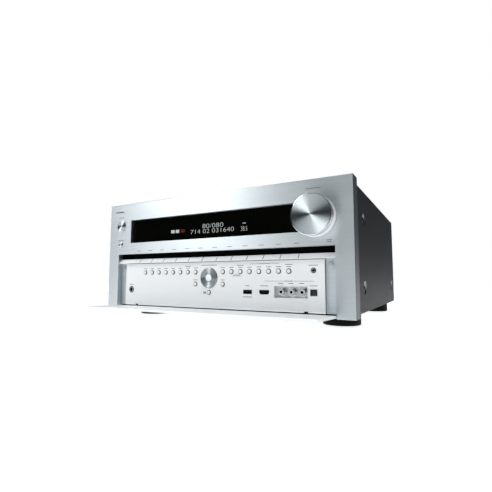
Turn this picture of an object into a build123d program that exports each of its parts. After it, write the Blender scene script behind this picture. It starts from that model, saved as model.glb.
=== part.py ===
from build123d import *
import os

# Home-cinema receiver. Millimetres, +Z up, floor at z = 0, front towards -Y.
# The functions below take y from the front face of the fascia; write() then moves every piece
# back by the same amount, so that the origin is under the middle of the whole object.

# Overall
WIDTH = 435.0
FOOT_H = 15.0
FASCIA_H = 182.0
BODY_D = 385.0
TERMINAL_REACH = 28.0

# Fascia: front plate with returned sides and top, and a notch for the panel and the flap
PLATE_T = 9.0
RETURN_D = 24.0
RETURN_T = 6.0
EDGE = 0.7
NOTCH_HALF = 193.5
NOTCH_TOP = FOOT_H + 92.5
WINDOW_X = (-165.5, 148.0)
WINDOW_Z = (FOOT_H + 112.0, FOOT_H + 152.0)
PANE_Y = 5.5
PANE_T = 3.0
PANE_LAP = 2.8

# Controls on the fascia
KNOB_AT = (169.4, FOOT_H + 130.6)
KNOB_R = 27.0
KNOB_REACH = 24.4
KNOB_GAP = 0.8
SHAFT_R = 3.0
POWER_AT = (-188.8, FOOT_H + 143.4)
POWER_R = 9.9
DIRECT_AT = (-189.0, FOOT_H + 110.2)
DIRECT_R = 4.9
FRONT_KEY_GAP = 0.25

# Input keys
KEY_COUNT = 12
KEY_PITCH = 26.1
KEY_FIRST_X = -143.6
KEY_GAP = 0.3
KEY_LOW_Z = FOOT_H + 76.2
KEY_LIP_Z = FOOT_H + 77.0
KEY_TOP_Z = FOOT_H + 83.7
KEY_FRONT_Y = 0.75
KEY_CREST_Y = 6.5
KEY_BACK_Y = 12.0
KEY_TRAVEL = 1.0

# Inner panel and its small buttons
PANEL_HALF = 178.1
PANEL_Y = 5.0
PANEL_T = 2.5
PANEL_Z = (FOOT_H + 5.5, FOOT_H + 75.4)
PANEL_CENTRE_X = -2.0
BUTTON_R = 3.2
BUTTON_HOLE_R = 3.45
BUTTON_PROUD = 1.1
BUTTON_PITCH = 15.1
BUTTON_OFFSET = 25.1
BUTTON_ROW_Z = FOOT_H + 60.5
BUTTON_LOW_Z = FOOT_H + 42.0
BUTTON_FOOT_Z = FOOT_H + 29.6
BUTTONS_PER_SIDE = 8
SWITCH_Y = 13.8
STEM_END_Y = 12.8

# Cursor pad
PAD_Z = FOOT_H + 51.5
PAD_R = 15.4
PAD_HOLE_R = 15.9
PAD_INNER_R = 5.9
ENTER_R = 5.5
NECK_R = (6.3, 8.9)
GIMBAL_R = (9.3, 12.5)
TILT_Y = 9.6
PIVOT_R = 0.6
PIVOT_HOLE_R = 0.66

# Sockets behind the flap, as (x, z) centres
PHONES_AT = (-164.8, FOOT_H + 31.8)
MIC_AT = (163.1, FOOT_H + 61.1)
USB_AT = (65.3, FOOT_H + 31.4)
HDMI_AT = (91.7, FOOT_H + 31.5)
OPTICAL_AT = (163.2, FOOT_H + 32.1)
CUP_X = (106.8, 154.8)
CUP_Z = (FOOT_H + 24.4, FOOT_H + 40.2)
CUP_FLOOR_Y = 14.0
PHONO_X = (116.8, 131.5, 146.7)
PHONO_Z = FOOT_H + 32.2
PHONES_BORE_R = 3.2
PHONES_BORE_L = 32.0
MIC_BORE_R = 1.78
MIC_BORE_L = 14.5
USB_HOLE = (14.2, 6.0)
HDMI_HOLE = (15.2, 6.1)
OPTICAL_HOLE = (10.2, 9.3)

# Flap, open in front with its free edge lifted a little, in degrees; two pins in the legs of
# the fascia carry it
FLAP_HALF = 193.1
FLAP_T = 3.2
FLAP_HINGE = (1.6, FOOT_H + 2.6)
FLAP_TAIL = 2.2
FLAP_REACH = 73.0
FLAP_LIFT = 2.0
HINGE_PIN_R = 0.9
HINGE_BORE_R = 0.95
HINGE_PIN_L = 12.0
HINGE_SEAT_L = 6.0

# Carrier moulding, chassis, cover and rear panel
CARRIER_Y = (18.0, 21.0)
RAIL_Y = 13.2
BULKHEAD_Y = 24.2
SHEET_T = 1.5
CHASSIS_Z = FOOT_H + 5.1
COVER_TOP_Z = FOOT_H + 174.6
COVER_HALF = 216.8
COVER_T = 1.2
COVER_FRONT_Y = RETURN_D + 0.1
CHASSIS_HALF = 214.0
DISH_R = 10.0
DISHED_SCREWS = ((65.0, 147.5), (65.0, 52.5), (351.0, 52.5))
LOUVRE_ROWS = 4
LOUVRES_PER_ROW = 22

# Feet
FOOT_R = 27.0
FOOT_X = 179.4
FOOT_Y = (82.0, 353.0)

# Rear sockets, as x and z centres
REAR_Y = BODY_D - 1.5
POST_COLUMNS = 11
POST_PITCH = 26.0
POST_FIRST_X = -76.0
POST_Z = (42.0, 68.0)
REAR_HDMI_X = tuple(-170.0 + 26.0 * i for i in range(7))
REAR_HDMI_Z = 172.0
LAN_AT = (60.0, 171.0)
SOCKET_PLATE_H = 20.0
HDMI_PLATE_W = 26.0
LAN_PLATE_W = 24.0
INLET_AT = (-158.0, 50.0)
PHONO_PITCH = 15.5
PHONO_BANKS = ((-194, (104, 124, 144), 9), (-20, (104, 124), 6), (104, (104, 124), 6))

SHIFT_Y = (FLAP_REACH - FLAP_HINGE[0] - BODY_D - TERMINAL_REACH) / 2


def block(x, y, z):
    """A box from its three (low, high) ranges."""
    size = [high - low for low, high in (x, y, z)]
    centre = [(low + high) / 2 for low, high in (x, y, z)]
    return Pos(*centre) * Box(*size)


def disc(x, z, radius, y_front, y_back):
    """A cylinder along Y."""
    length = y_back - y_front
    return Pos(x, (y_front + y_back) / 2, z) * Rot(90, 0, 0) * Cylinder(radius, length)


def upright(x, y, radius, z_low, z_high):
    """A cylinder along Z."""
    return Pos(x, y, (z_low + z_high) / 2) * Cylinder(radius, z_high - z_low)


def turned(points):
    """A solid turned about Y from (radius, y) points."""
    return revolve(make_face(Polyline(*points, close=True)), Axis.Y)


def turned_at(x, z, points):
    return Pos(x, 0, z) * turned(points)


def slab(points, x_low, x_high):
    """A solid along X from (y, z) profile points."""
    outline = Polyline(*[(0, y, z) for y, z in points], close=True)
    face = make_face(outline)
    return Pos(x_low, 0, 0) * extrude(face, x_high - x_low, dir=(1, 0, 0))


def write(name, *solids):
    """Writes one node, moved into the object's own frame."""
    pieces = [Pos(0, SHIFT_Y, 0) * solid for solid in solids]
    found = [one for piece in pieces for one in piece.solids()]
    shape = found[0] if len(found) == 1 else Compound(children=found)
    export_step(shape, f"parts/{name}.step")


def around(centre, size):
    """The (low, high) range of this size about a centre."""
    return (centre - size / 2, centre + size / 2)


# Front ------------------------------------------------------------------------------------


def fascia():
    top = FOOT_H + FASCIA_H
    half = WIDTH / 2
    body = block((-half, half), (0, RETURN_D), (FOOT_H, top))
    outer = body.faces().filter_by(Axis.Y).sort_by(Axis.Y)[0].edges()
    body = chamfer(outer, EDGE)
    inside = half - RETURN_T
    body -= block((-inside, inside), (PLATE_T, RETURN_D + 1), (FOOT_H - 1, top - RETURN_T))
    notch = block((-NOTCH_HALF, NOTCH_HALF), (-1, PLATE_T + 1), (FOOT_H - 1, NOTCH_TOP))
    body -= notch
    body -= block(WINDOW_X, (-1, PLATE_T + 1), WINDOW_Z)
    lap = PANE_LAP + 0.2
    rebate_x = (WINDOW_X[0] - lap, WINDOW_X[1] + lap)
    rebate_z = (WINDOW_Z[0] - lap, WINDOW_Z[1] + lap)
    body -= block(rebate_x, (PANE_Y, PLATE_T + 1), rebate_z)
    body -= disc(*POWER_AT, POWER_R + FRONT_KEY_GAP, -1, PLATE_T + 1)
    body -= disc(*DIRECT_AT, DIRECT_R + FRONT_KEY_GAP, -1, PLATE_T + 1)
    body -= disc(*KNOB_AT, SHAFT_R + 1, -1, PLATE_T + 1)
    for side in (-1, 1):
        body -= hinge_pin_solid(side, HINGE_PIN_R)
    return body


def display_window():
    pane_x = (WINDOW_X[0] - PANE_LAP, WINDOW_X[1] + PANE_LAP)
    pane_z = (WINDOW_Z[0] - PANE_LAP, WINDOW_Z[1] + PANE_LAP)
    return block(pane_x, (PANE_Y, PANE_Y + PANE_T), pane_z)


def display_module():
    """Vacuum fluorescent tube behind the pane, on its own board."""
    glass = block((-118, 92), (10.5, 16.5), (134, 162))
    back = block((-124, 98), (16.5, 17.8), (130, 166))
    return glass + back


def volume_knob():
    rim = 1.4
    front = -KNOB_REACH
    profile = (
        (0, front + 1.0),
        (KNOB_R - rim - 0.6, front + 0.2),
        (KNOB_R - rim, front),
        (KNOB_R, front + rim),
        (KNOB_R, -KNOB_GAP - 1.5),
        (KNOB_R - 1, -KNOB_GAP),
        (SHAFT_R, -KNOB_GAP),
        (SHAFT_R, 12.0),
        (0, 12.0),
    )
    return turned_at(*KNOB_AT, profile)


def front_key(centre, radius, proud, travel_end):
    """A round fascia button: spun dished face, collar behind the plate and a stem."""
    collar_y = PLATE_T + 0.3
    profile = (
        (0, -proud + 0.5),
        (radius - 0.8, -proud + 0.05),
        (radius - 0.4, -proud),
        (radius, -proud + 0.4),
        (radius, collar_y),
        (radius + 1.4, collar_y),
        (radius + 1.4, collar_y + 1.4),
        (2.0, collar_y + 1.4),
        (2.0, travel_end),
        (0, travel_end),
    )
    return turned_at(*centre, profile)


def key_profile(back):
    return (
        (KEY_FRONT_Y, KEY_LOW_Z),
        (KEY_FRONT_Y, KEY_LIP_Z),
        (KEY_CREST_Y, KEY_TOP_Z),
        (back, KEY_TOP_Z),
        (back, KEY_LOW_Z),
    )


def key_centre(index):
    return KEY_FIRST_X + KEY_PITCH * index


def input_key(index):
    half = (KEY_PITCH - KEY_GAP) / 2
    centre = key_centre(index)
    body = slab(key_profile(KEY_BACK_Y), centre - half, centre + half)
    groove_depth = 0.5
    groove = ((KEY_FRONT_Y + groove_depth, KEY_LIP_Z), (KEY_CREST_Y + groove_depth, KEY_TOP_Z))
    cutter = (
        (KEY_FRONT_Y - 1, KEY_LIP_Z),
        groove[0],
        groove[1],
        (KEY_CREST_Y + groove_depth, KEY_TOP_Z + 1),
        (KEY_FRONT_Y - 1, KEY_TOP_Z + 1),
    )
    body -= slab(cutter, centre - 0.3, centre + 0.3)
    guide = block(around(centre, 18), (KEY_BACK_Y - 0.5, 16.0), (KEY_LOW_Z + 1.2, KEY_LOW_Z + 5.7))
    return body + guide


def side_trim(side):
    """Post beside the inner panel, the fixed end of the key row, and the catch in the post."""
    last = KEY_FIRST_X + KEY_PITCH * (KEY_COUNT - 1)
    inner = -KEY_FIRST_X + KEY_PITCH / 2 if side < 0 else last + KEY_PITCH / 2
    outer = NOTCH_HALF - 0.1
    low, high = sorted((side * inner, side * outer))
    cap = slab(key_profile(KEY_BACK_Y), low, high)
    post_low, post_high = sorted((side * (PANEL_HALF + 0.3), side * outer))
    post = block((post_low, post_high), (PLATE_T, KEY_BACK_Y), (PANEL_Z[0], KEY_LOW_Z))
    catch_at = (side * 185.6, FOOT_H + 69.6)
    post -= disc(*catch_at, 3.0, PLATE_T - 1, KEY_BACK_Y + 1)
    catch = (
        (0, 8.4),
        (1.2, 8.4),
        (1.6, 7.6),
        (3.2, 7.8),
        (3.4, 8.9),
        (2.95, 8.9),
        (2.95, KEY_BACK_Y),
        (0, KEY_BACK_Y),
    )
    return cap, post, turned_at(*catch_at, catch)


def flap():
    """Drawn level, inner face up, then lifted about its hinge line to where it rests open."""
    y_pin, z_pin = FLAP_HINGE
    y_front = y_pin - FLAP_REACH
    z_low = z_pin - FLAP_T / 2
    z_high = z_pin + FLAP_T / 2
    plate = block((-FLAP_HALF, FLAP_HALF), (y_front, y_pin + FLAP_TAIL), (z_low, z_high))
    edges = plate.faces().sort_by(Axis.Z)[0].edges()
    plate = chamfer(edges, 0.6)
    relief_x = (-FLAP_HALF + 14, FLAP_HALF - 14)
    plate -= block(relief_x, (y_front + 5, y_pin - 8), (z_high - 0.5, z_high + 1))
    for side in (-1, 1):
        bore = Pos(side * FLAP_HALF, y_pin, z_pin) * Rot(0, 90, 0)
        plate -= bore * Cylinder(HINGE_BORE_R, 2 * HINGE_PIN_L)
        striker = (side * 185.6, y_pin - (FOOT_H + 69.6 - z_pin))
        plate -= upright(*striker, 3.6, z_high - 0.4, z_high + 1)
    return plate.rotate(Axis((0, y_pin, z_pin), (1, 0, 0)), -FLAP_LIFT)


def hinge_pin_solid(side, radius):
    low = NOTCH_HALF - HINGE_PIN_L + 0.6
    high = NOTCH_HALF + HINGE_SEAT_L
    at = Pos(side * (low + high) / 2, *FLAP_HINGE)
    return at * Rot(0, 90, 0) * Cylinder(radius, high - low)


# Inner panel ------------------------------------------------------------------------------


def button_places():
    """(x, z) of the nineteen small buttons, left to right along the row, then the lower ones."""
    left = [PANEL_CENTRE_X - BUTTON_OFFSET - BUTTON_PITCH * i for i in range(BUTTONS_PER_SIDE)]
    right = [PANEL_CENTRE_X + BUTTON_OFFSET + BUTTON_PITCH * i for i in range(BUTTONS_PER_SIDE)]
    row = [(x, BUTTON_ROW_Z) for x in sorted(left) + right]
    beside = [(PANEL_CENTRE_X + side * BUTTON_OFFSET, BUTTON_LOW_Z) for side in (-1, 1)]
    return row + beside + [(PANEL_CENTRE_X + 0.5, BUTTON_FOOT_Z)]


def hdmi_outline(centre, size, y_front, y_back):
    """A D-shaped socket outline: a box with its two lower corners cut."""
    x, z = centre
    width, height = size
    cut = 0.3 * height
    half = width / 2
    points = (
        (x - half, z + height / 2),
        (x + half, z + height / 2),
        (x + half, z - height / 2 + cut),
        (x + half - cut, z - height / 2),
        (x - half + cut, z - height / 2),
        (x - half, z - height / 2 + cut),
    )
    outline = Polyline(*[(px, 0, pz) for px, pz in points], close=True)
    body = extrude(make_face(outline), y_back - y_front, dir=(0, 1, 0))
    return Pos(0, y_front, 0) * body


def sub_panel():
    back = PANEL_Y + PANEL_T
    panel = block((-PANEL_HALF, PANEL_HALF), (PANEL_Y, back), PANEL_Z)
    lower = panel.edges().filter_by(Axis.X).group_by(Axis.Z)[0].sort_by(Axis.Y)[0]
    panel = chamfer(lower, 1.6)
    cup_wall = 1.0
    cup_x = (CUP_X[0] - cup_wall, CUP_X[1] + cup_wall)
    cup_z = (CUP_Z[0] - cup_wall, CUP_Z[1] + cup_wall)
    panel += block(cup_x, (back - 0.1, CUP_FLOOR_Y + cup_wall), cup_z)
    panel -= block(CUP_X, (PANEL_Y - 1, CUP_FLOOR_Y), CUP_Z)
    for x in PHONO_X:
        panel -= disc(x, PHONO_Z, 4.2, CUP_FLOOR_Y - 1, CUP_FLOOR_Y + 2)
    for x, z in button_places():
        panel -= disc(x, z, BUTTON_HOLE_R, PANEL_Y - 1, back + 1)
    panel -= disc(PANEL_CENTRE_X, PAD_Z, PAD_HOLE_R, PANEL_Y - 1, back + 1)
    panel -= disc(*PHONES_AT, 5.6, PANEL_Y - 1, back + 1)
    panel -= disc(*MIC_AT, 3.7, PANEL_Y - 1, back + 1)
    usb_x, usb_z = USB_AT
    panel -= block(around(usb_x, USB_HOLE[0]), (PANEL_Y - 1, back + 1), around(usb_z, USB_HOLE[1]))
    panel -= hdmi_outline(HDMI_AT, HDMI_HOLE, PANEL_Y - 1, back + 1)
    opt_x, opt_z = OPTICAL_AT
    opt_range = (around(opt_x, OPTICAL_HOLE[0]), around(opt_z, OPTICAL_HOLE[1]))
    panel -= block(opt_range[0], (PANEL_Y - 1, back + 1), opt_range[1])
    for side in (-1, 1):
        notch_x = around(side * 152.0, 6.0)
        panel -= block(notch_x, (PANEL_Y - 1, back + 1), (PANEL_Z[0] - 1, PANEL_Z[0] + 2.0))
    return panel


def panel_button(x, z):
    face = PANEL_Y - BUTTON_PROUD
    collar = PANEL_Y + PANEL_T + 0.3
    profile = (
        (0, face + 0.3),
        (BUTTON_R - 0.5, face),
        (BUTTON_R, face + 0.4),
        (BUTTON_R, collar),
        (BUTTON_R + 1, collar),
        (BUTTON_R + 1, collar + 1.2),
        (1.8, collar + 1.2),
        (1.8, STEM_END_Y),
        (0, STEM_END_Y),
    )
    return turned_at(x, z, profile)


def cursor_ring():
    """Dished ring with a neck behind it; two pins on the neck turn in the gimbal."""
    face = PANEL_Y - 1.0
    profile = (
        (PAD_INNER_R, face + 1.0),
        (PAD_R - 1.2, face + 0.1),
        (PAD_R - 0.8, face),
        (PAD_R, face + 0.6),
        (PAD_R, face + 2.4),
        (NECK_R[1], face + 2.4),
        (NECK_R[1], 11.0),
        (NECK_R[0], 11.0),
        (NECK_R[0], face + 2.4),
        (PAD_INNER_R, face + 2.4),
    )
    ring = turned_at(PANEL_CENTRE_X, PAD_Z, profile)
    for side in (-1, 1):
        centre_z = PAD_Z + side * (NECK_R[1] + 0.8)
        ring += Pos(PANEL_CENTRE_X, TILT_Y, centre_z) * Cylinder(PIVOT_R, 2.4)
    return ring


def cursor_gimbal():
    """Annulus between the neck and the board's lugs, with two pins along X."""
    ring = disc(PANEL_CENTRE_X, PAD_Z, GIMBAL_R[1], TILT_Y - 1.1, TILT_Y + 1.1)
    ring -= disc(PANEL_CENTRE_X, PAD_Z, GIMBAL_R[0], TILT_Y - 2, TILT_Y + 2)
    ring -= Pos(PANEL_CENTRE_X, TILT_Y, PAD_Z) * Cylinder(PIVOT_HOLE_R, 2 * GIMBAL_R[1] + 2)
    for side in (-1, 1):
        centre_x = PANEL_CENTRE_X + side * (GIMBAL_R[1] + 0.9)
        ring += Pos(centre_x, TILT_Y, PAD_Z) * Rot(0, 90, 0) * Cylinder(PIVOT_R, 2.4)
    return ring


def enter_button():
    face = PANEL_Y - 1.2
    profile = (
        (0, face + 0.5),
        (ENTER_R - 0.6, face),
        (ENTER_R, face + 0.5),
        (ENTER_R, 8.4),
        (1.8, 8.4),
        (1.8, STEM_END_Y),
        (0, STEM_END_Y),
    )
    return turned_at(PANEL_CENTRE_X, PAD_Z, profile)


def front_jack(centre, ring_r, body_r, bore_r, bore_length):
    front = PANEL_Y - 0.6
    end = front + bore_length + 1.5
    profile = (
        (bore_r, front + 0.3),
        (bore_r + 0.3, front),
        (ring_r - 0.3, front),
        (ring_r, front + 0.3),
        (ring_r, PANEL_Y + PANEL_T + 0.1),
        (body_r, PANEL_Y + PANEL_T + 0.1),
        (body_r, end),
        (0, end),
        (0, front + bore_length),
        (bore_r, front + bore_length),
    )
    return turned_at(*centre, profile)


def phono_jack(x, z, base_y, direction):
    """Base flange and barrel of a phono socket, opening against the given Y direction."""
    y = [base_y + direction * step for step in (-1.2, 0, -8.2, -7.9)]
    profile = (
        (1.65, y[2]),
        (3.9, y[2]),
        (4.15, y[3]),
        (4.15, y[0]),
        (6.2, y[0]),
        (6.2, y[1]),
        (0, y[1]),
        (0, y[1] - direction * 0.8),
        (1.65, y[1] - direction * 0.8),
    )
    return turned_at(x, z, profile)


def front_sockets():
    end = 17.6
    wall = 0.5
    usb_x, usb_z = USB_AT
    usb = block(around(usb_x, USB_HOLE[0] - 0.1), (4.8, end), around(usb_z, USB_HOLE[1] - 0.1))
    usb_hollow = [size - 0.1 - 2 * wall for size in USB_HOLE]
    usb -= block(around(usb_x, usb_hollow[0]), (4, end - 1), around(usb_z, usb_hollow[1]))
    hdmi_size = [size - 0.1 for size in HDMI_HOLE]
    hdmi = hdmi_outline(HDMI_AT, hdmi_size, 4.8, end)
    hdmi -= hdmi_outline(HDMI_AT, [size - 2 * wall for size in hdmi_size], 4, end - 1)
    opt_x, opt_z = OPTICAL_AT
    opt_size = [size - 0.1 for size in OPTICAL_HOLE]
    optical = block(around(opt_x, opt_size[0]), (4.9, end), around(opt_z, opt_size[1]))
    optical -= block(around(opt_x, opt_size[0] - 1.6), (4, 5.7), around(opt_z, opt_size[1] - 1.6))
    jacks = [phono_jack(x, PHONO_Z, CUP_FLOOR_Y, 1) for x in PHONO_X]
    return [usb, hdmi, optical] + jacks


def front_boards():
    """Key board with its switches and the lugs of the gimbal, and the volume encoder's board."""
    board = block((-142, 140), (14.2, 15.8), (FOOT_H + 44, FOOT_H + 72))
    board += block((-42, 40), (14.2, 15.8), (FOOT_H + 22, FOOT_H + 46))
    for x, z in button_places() + [(PANEL_CENTRE_X, PAD_Z)]:
        board += block(around(x, 6), (SWITCH_Y, 14.3), around(z, 6))
    for side in (-1, 1):
        lug_x = around(PANEL_CENTRE_X + side * 14.4, 1.8)
        board += block(lug_x, (TILT_Y - 1.6, 14.3), around(PAD_Z, 3.6))
    hole = Pos(PANEL_CENTRE_X, TILT_Y, PAD_Z) * Rot(0, 90, 0) * Cylinder(PIVOT_HOLE_R, 34)
    board -= hole
    knob_x, knob_z = KNOB_AT
    encoder = block(around(knob_x, 36), (13.6, 15.2), around(knob_z, 40))
    encoder += block(around(knob_x, 14), (9.4, 13.7), around(knob_z, 14))
    encoder -= disc(knob_x, knob_z, SHAFT_R + 0.05, 9, 12.4)
    return board, encoder


def front_carrier():
    """Black moulding behind the panel and its lower gap; its rail guides the input keys."""
    plate = block((-205, 205), CARRIER_Y, (FOOT_H + 0.8, FOOT_H + 172))
    plate += block((-189, 189), (RAIL_Y, CARRIER_Y[0] + 0.1), (KEY_LOW_Z - 1.2, KEY_LOW_Z + 7.9))
    for index in range(KEY_COUNT):
        slot_x = around(key_centre(index), 18.6)
        slot_z = (KEY_LOW_Z + 0.9, KEY_LOW_Z + 6.0)
        plate -= block(slot_x, (RAIL_Y - 1, CARRIER_Y[0] - 0.7), slot_z)
    plate -= disc(*PHONES_AT, 8.6, CARRIER_Y[0] - 1, CARRIER_Y[1] + 1)
    plate -= disc(*MIC_AT, 5.0, CARRIER_Y[0] - 1, CARRIER_Y[1] + 1)
    return plate


# Body -------------------------------------------------------------------------------------


def chassis_pan():
    """Folded floor pan with side flanges, and the front bulkhead that stands on it."""
    half = CHASSIS_HALF
    floor_top = CHASSIS_Z + SHEET_T
    pan = block((-half, half), (BULKHEAD_Y, REAR_Y - 0.1), (CHASSIS_Z, floor_top))
    bulkhead = block((-210, 210), (BULKHEAD_Y, BULKHEAD_Y + SHEET_T), (floor_top, COVER_TOP_Z - 2))
    for side in (-1, 1):
        flange = sorted((side * (half - SHEET_T), side * half))
        pan += block(flange, (BULKHEAD_Y, REAR_Y - 0.1), (CHASSIS_Z, CHASSIS_Z + 14))
    bulkhead -= disc(*PHONES_AT, 9.0, BULKHEAD_Y - 1, BULKHEAD_Y + 3)
    for x in range(-150, 151, 12):
        pan -= block(around(x, 4), (232, 282), (CHASSIS_Z - 1, floor_top + 1))
    return pan, bulkhead


def dish_hole(side, y, z):
    return Pos(side * COVER_HALF, y, z) * Rot(0, 90, 0) * Cylinder(DISH_R, 8)


def top_cover():
    outer = COVER_HALF
    cover = block((-outer, outer), (COVER_FRONT_Y, BODY_D), (CHASSIS_Z, COVER_TOP_Z))
    long_edges = cover.edges().filter_by(Axis.Y).group_by(Axis.Z)[-1]
    cover = fillet(long_edges, 2.0)
    inner = outer - COVER_T
    inner_z = (CHASSIS_Z - 1, COVER_TOP_Z - COVER_T)
    cover -= block((-inner, inner), (COVER_FRONT_Y - 1, BODY_D + 1), inner_z)
    for side in (-1, 1):
        for y, z in DISHED_SCREWS:
            cover -= dish_hole(side, y, z)
    for row in range(LOUVRE_ROWS):
        y = 78 + row * 76
        for column in range(LOUVRES_PER_ROW):
            x = (column - (LOUVRES_PER_ROW - 1) / 2) * 15.5
            cover -= block(around(x, 4.2), around(y, 58), (COVER_TOP_Z - 3, COVER_TOP_Z + 1))
    return cover


def dished_screw(side, y, z):
    """Polished dished washer with a domed screw head in the middle, set flush in the cover."""
    profile = (
        (0, 0.5),
        (2.6, 0.7),
        (4.0, 1.4),
        (4.0, 1.9),
        (5.0, 1.9),
        (9.2, 0.05),
        (DISH_R - 0.1, 0.05),
        (DISH_R - 0.1, 2.6),
        (0, 2.6),
    )
    body = turned(profile)
    return Pos(side * COVER_HALF, y, z) * Rot(0, 0, 90 * side) * body


def cover_screws():
    return [dished_screw(side, y, z) for side in (-1, 1) for y, z in DISHED_SCREWS]


def rear_panel():
    plate = block((-213.5, 213.5), (REAR_Y, BODY_D), (CHASSIS_Z, COVER_TOP_Z - 1.4))
    depth = (REAR_Y - 1, BODY_D + 1)
    hdmi_x = (REAR_HDMI_X[0] - HDMI_PLATE_W / 2, REAR_HDMI_X[-1] + HDMI_PLATE_W / 2)
    plate -= block(hdmi_x, depth, around(REAR_HDMI_Z, SOCKET_PLATE_H))
    plate -= block(around(LAN_AT[0], LAN_PLATE_W), depth, around(LAN_AT[1], SOCKET_PLATE_H))
    plate -= block(around(INLET_AT[0], 28), depth, around(INLET_AT[1], 20.5))
    return plate


def foot(x, y):
    """Wide foot with a groove under its top flange and a rounded lower edge."""
    section = Polyline(
        (0, 1.0),
        (FOOT_R - 7, 1.0),
        (FOOT_R - 7, 0),
        (FOOT_R - 2, 0),
    )
    section += RadiusArc((FOOT_R - 2, 0), (FOOT_R, 2), -2.0)
    section += Polyline(
        (FOOT_R, 2),
        (FOOT_R, 14.6),
        (FOOT_R - 1.2, 15.0),
        (FOOT_R - 1.2, 16.0),
        (FOOT_R, 16.4),
        (FOOT_R, CHASSIS_Z),
        (0, CHASSIS_Z),
        (0, 1.0),
    )
    profile = Rot(90, 0, 0) * make_face(section)
    return Pos(x, y, 0) * revolve(profile, Axis.Z)


def feet():
    return [foot(side * FOOT_X, y) for side in (-1, 1) for y in FOOT_Y]


# Inside -----------------------------------------------------------------------------------


def transformer():
    floor = CHASSIS_Z + SHEET_T
    core = block((-170, -60), (60, 150), (floor + 6, floor + 96))
    coil = block((-157, -73), (52, 158), (floor + 22, floor + 80))
    tabs = block((-182, -48), (64, 146), (floor, floor + 6.1))
    return core + coil + tabs


def heat_sink():
    low = CHASSIS_Z + SHEET_T + 8
    base = block((-195, 195), (196, 204), (low, low + 118))
    for index in range(30):
        fin_x = around(-188.5 + 13 * index, 2.4)
        base += block(fin_x, (176, 196.1), (low, low + 118))
    base += block((-195, 195), (190, 204), (CHASSIS_Z + SHEET_T, low + 0.1))
    return base


def circuit_boards():
    floor = CHASSIS_Z + SHEET_T
    amplifier = block((-198, 198), (212, 213.6), (floor + 6, floor + 118))
    for index in range(9):
        amplifier += block(around(-168 + 42 * index, 16), (204.1, 212.1), (floor + 60, floor + 82))
    digital = block((-180, 90), (290, 372), (150, 151.6))
    for x, y, size in ((-120, 330, 30), (-60, 325, 24), (10, 335, 34)):
        digital += block(around(x, size), around(y, size), (151.5, 154.5))
    supply = block((-40, 190), (62, 165), (floor + 10, floor + 11.6))
    return amplifier, digital, supply


def reservoir_capacitors():
    low = CHASSIS_Z + SHEET_T + 11.7
    return [upright(x, 112, 26, low, low + 70) for x in (20, 82)]


def binding_post(x, z):
    """Moulded base, threaded stem hidden under a ribbed cap, and the cap's plug hole."""
    face = BODY_D
    end = BODY_D + TERMINAL_REACH
    profile = (
        (2.1, end),
        (4.2, end),
        (5.2, end - 0.8),
        (5.2, end - 15.0),
        (4.3, end - 15.6),
        (4.3, face + 5.0),
        (8.0, face + 5.0),
        (8.6, face + 3.0),
        (8.6, face + 0.05),
        (0, face + 0.05),
        (0, end - 20),
        (2.1, end - 20),
    )
    post = turned_at(x, z, profile)
    for index in range(6):
        notch = Rot(0, 60 * index, 0) * Pos(5.6, 0, 0) * Rot(90, 0, 0) * Cylinder(0.9, 12.0)
        post -= Pos(x, end - 7.5, z) * notch
    return post


def speaker_terminals():
    columns = [POST_FIRST_X + POST_PITCH * i for i in range(POST_COLUMNS)]
    return [binding_post(x, z) for x in columns for z in POST_Z]


def phono_bank(x_first, z_rows, columns, pitch):
    """A moulded strip and the grid of phono sockets that stands on it."""
    low_x = x_first - pitch / 2
    high_x = x_first + pitch * (columns - 0.5)
    strip_z = (min(z_rows) - 8.5, max(z_rows) + 8.5)
    strip_y = BODY_D + 2.0
    bank = [block((low_x, high_x), (BODY_D + 0.05, strip_y), strip_z)]
    for row_z in z_rows:
        bank += [phono_jack(x_first + pitch * i, row_z, strip_y, -1) for i in range(columns)]
    return bank


def rear_data_sockets():
    """Seven HDMI sockets and the network socket, each with its own face plate."""
    wall = 0.5
    sockets = []
    shell_size = [size - 0.1 for size in HDMI_HOLE]
    inner_size = [size - 2 * wall for size in shell_size]
    plate_y = (REAR_Y, BODY_D - 0.3)
    for x in REAR_HDMI_X:
        shell = hdmi_outline((x, REAR_HDMI_Z), shell_size, BODY_D - 13, BODY_D + 0.4)
        shell += block(around(x, HDMI_PLATE_W), plate_y, around(REAR_HDMI_Z, SOCKET_PLATE_H))
        shell -= hdmi_outline((x, REAR_HDMI_Z), inner_size, BODY_D - 12, BODY_D + 1)
        sockets.append(shell)
    lan_x, lan_z = LAN_AT
    lan = block(around(lan_x, 15.9), (BODY_D - 16, BODY_D + 0.6), around(lan_z, 13.9))
    lan += block(around(lan_x, LAN_PLATE_W), plate_y, around(lan_z, SOCKET_PLATE_H))
    lan -= block(around(lan_x, 12), (BODY_D - 14, BODY_D + 1), around(lan_z + 0.8, 8))
    sockets.append(lan)
    return sockets


def rear_sockets():
    """Three banks of phono sockets, the serial socket and the antenna block."""
    sockets = []
    for x_first, z_rows, columns in PHONO_BANKS:
        sockets += phono_bank(x_first, z_rows, columns, PHONO_PITCH)
    serial = block((96, 128), (BODY_D + 0.05, BODY_D + 6), (165, 178))
    serial -= block((99, 125), (BODY_D + 3, BODY_D + 7), (167.5, 175.5))
    sockets.append(serial)
    antenna = block((146, 190), (BODY_D + 0.05, BODY_D + 8), (160, 180))
    antenna += disc(158, 170, 4.8, BODY_D + 7.9, BODY_D + 16)
    antenna -= disc(158, 170, 1.2, BODY_D + 9, BODY_D + 17)
    sockets.append(antenna)
    return sockets


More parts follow.
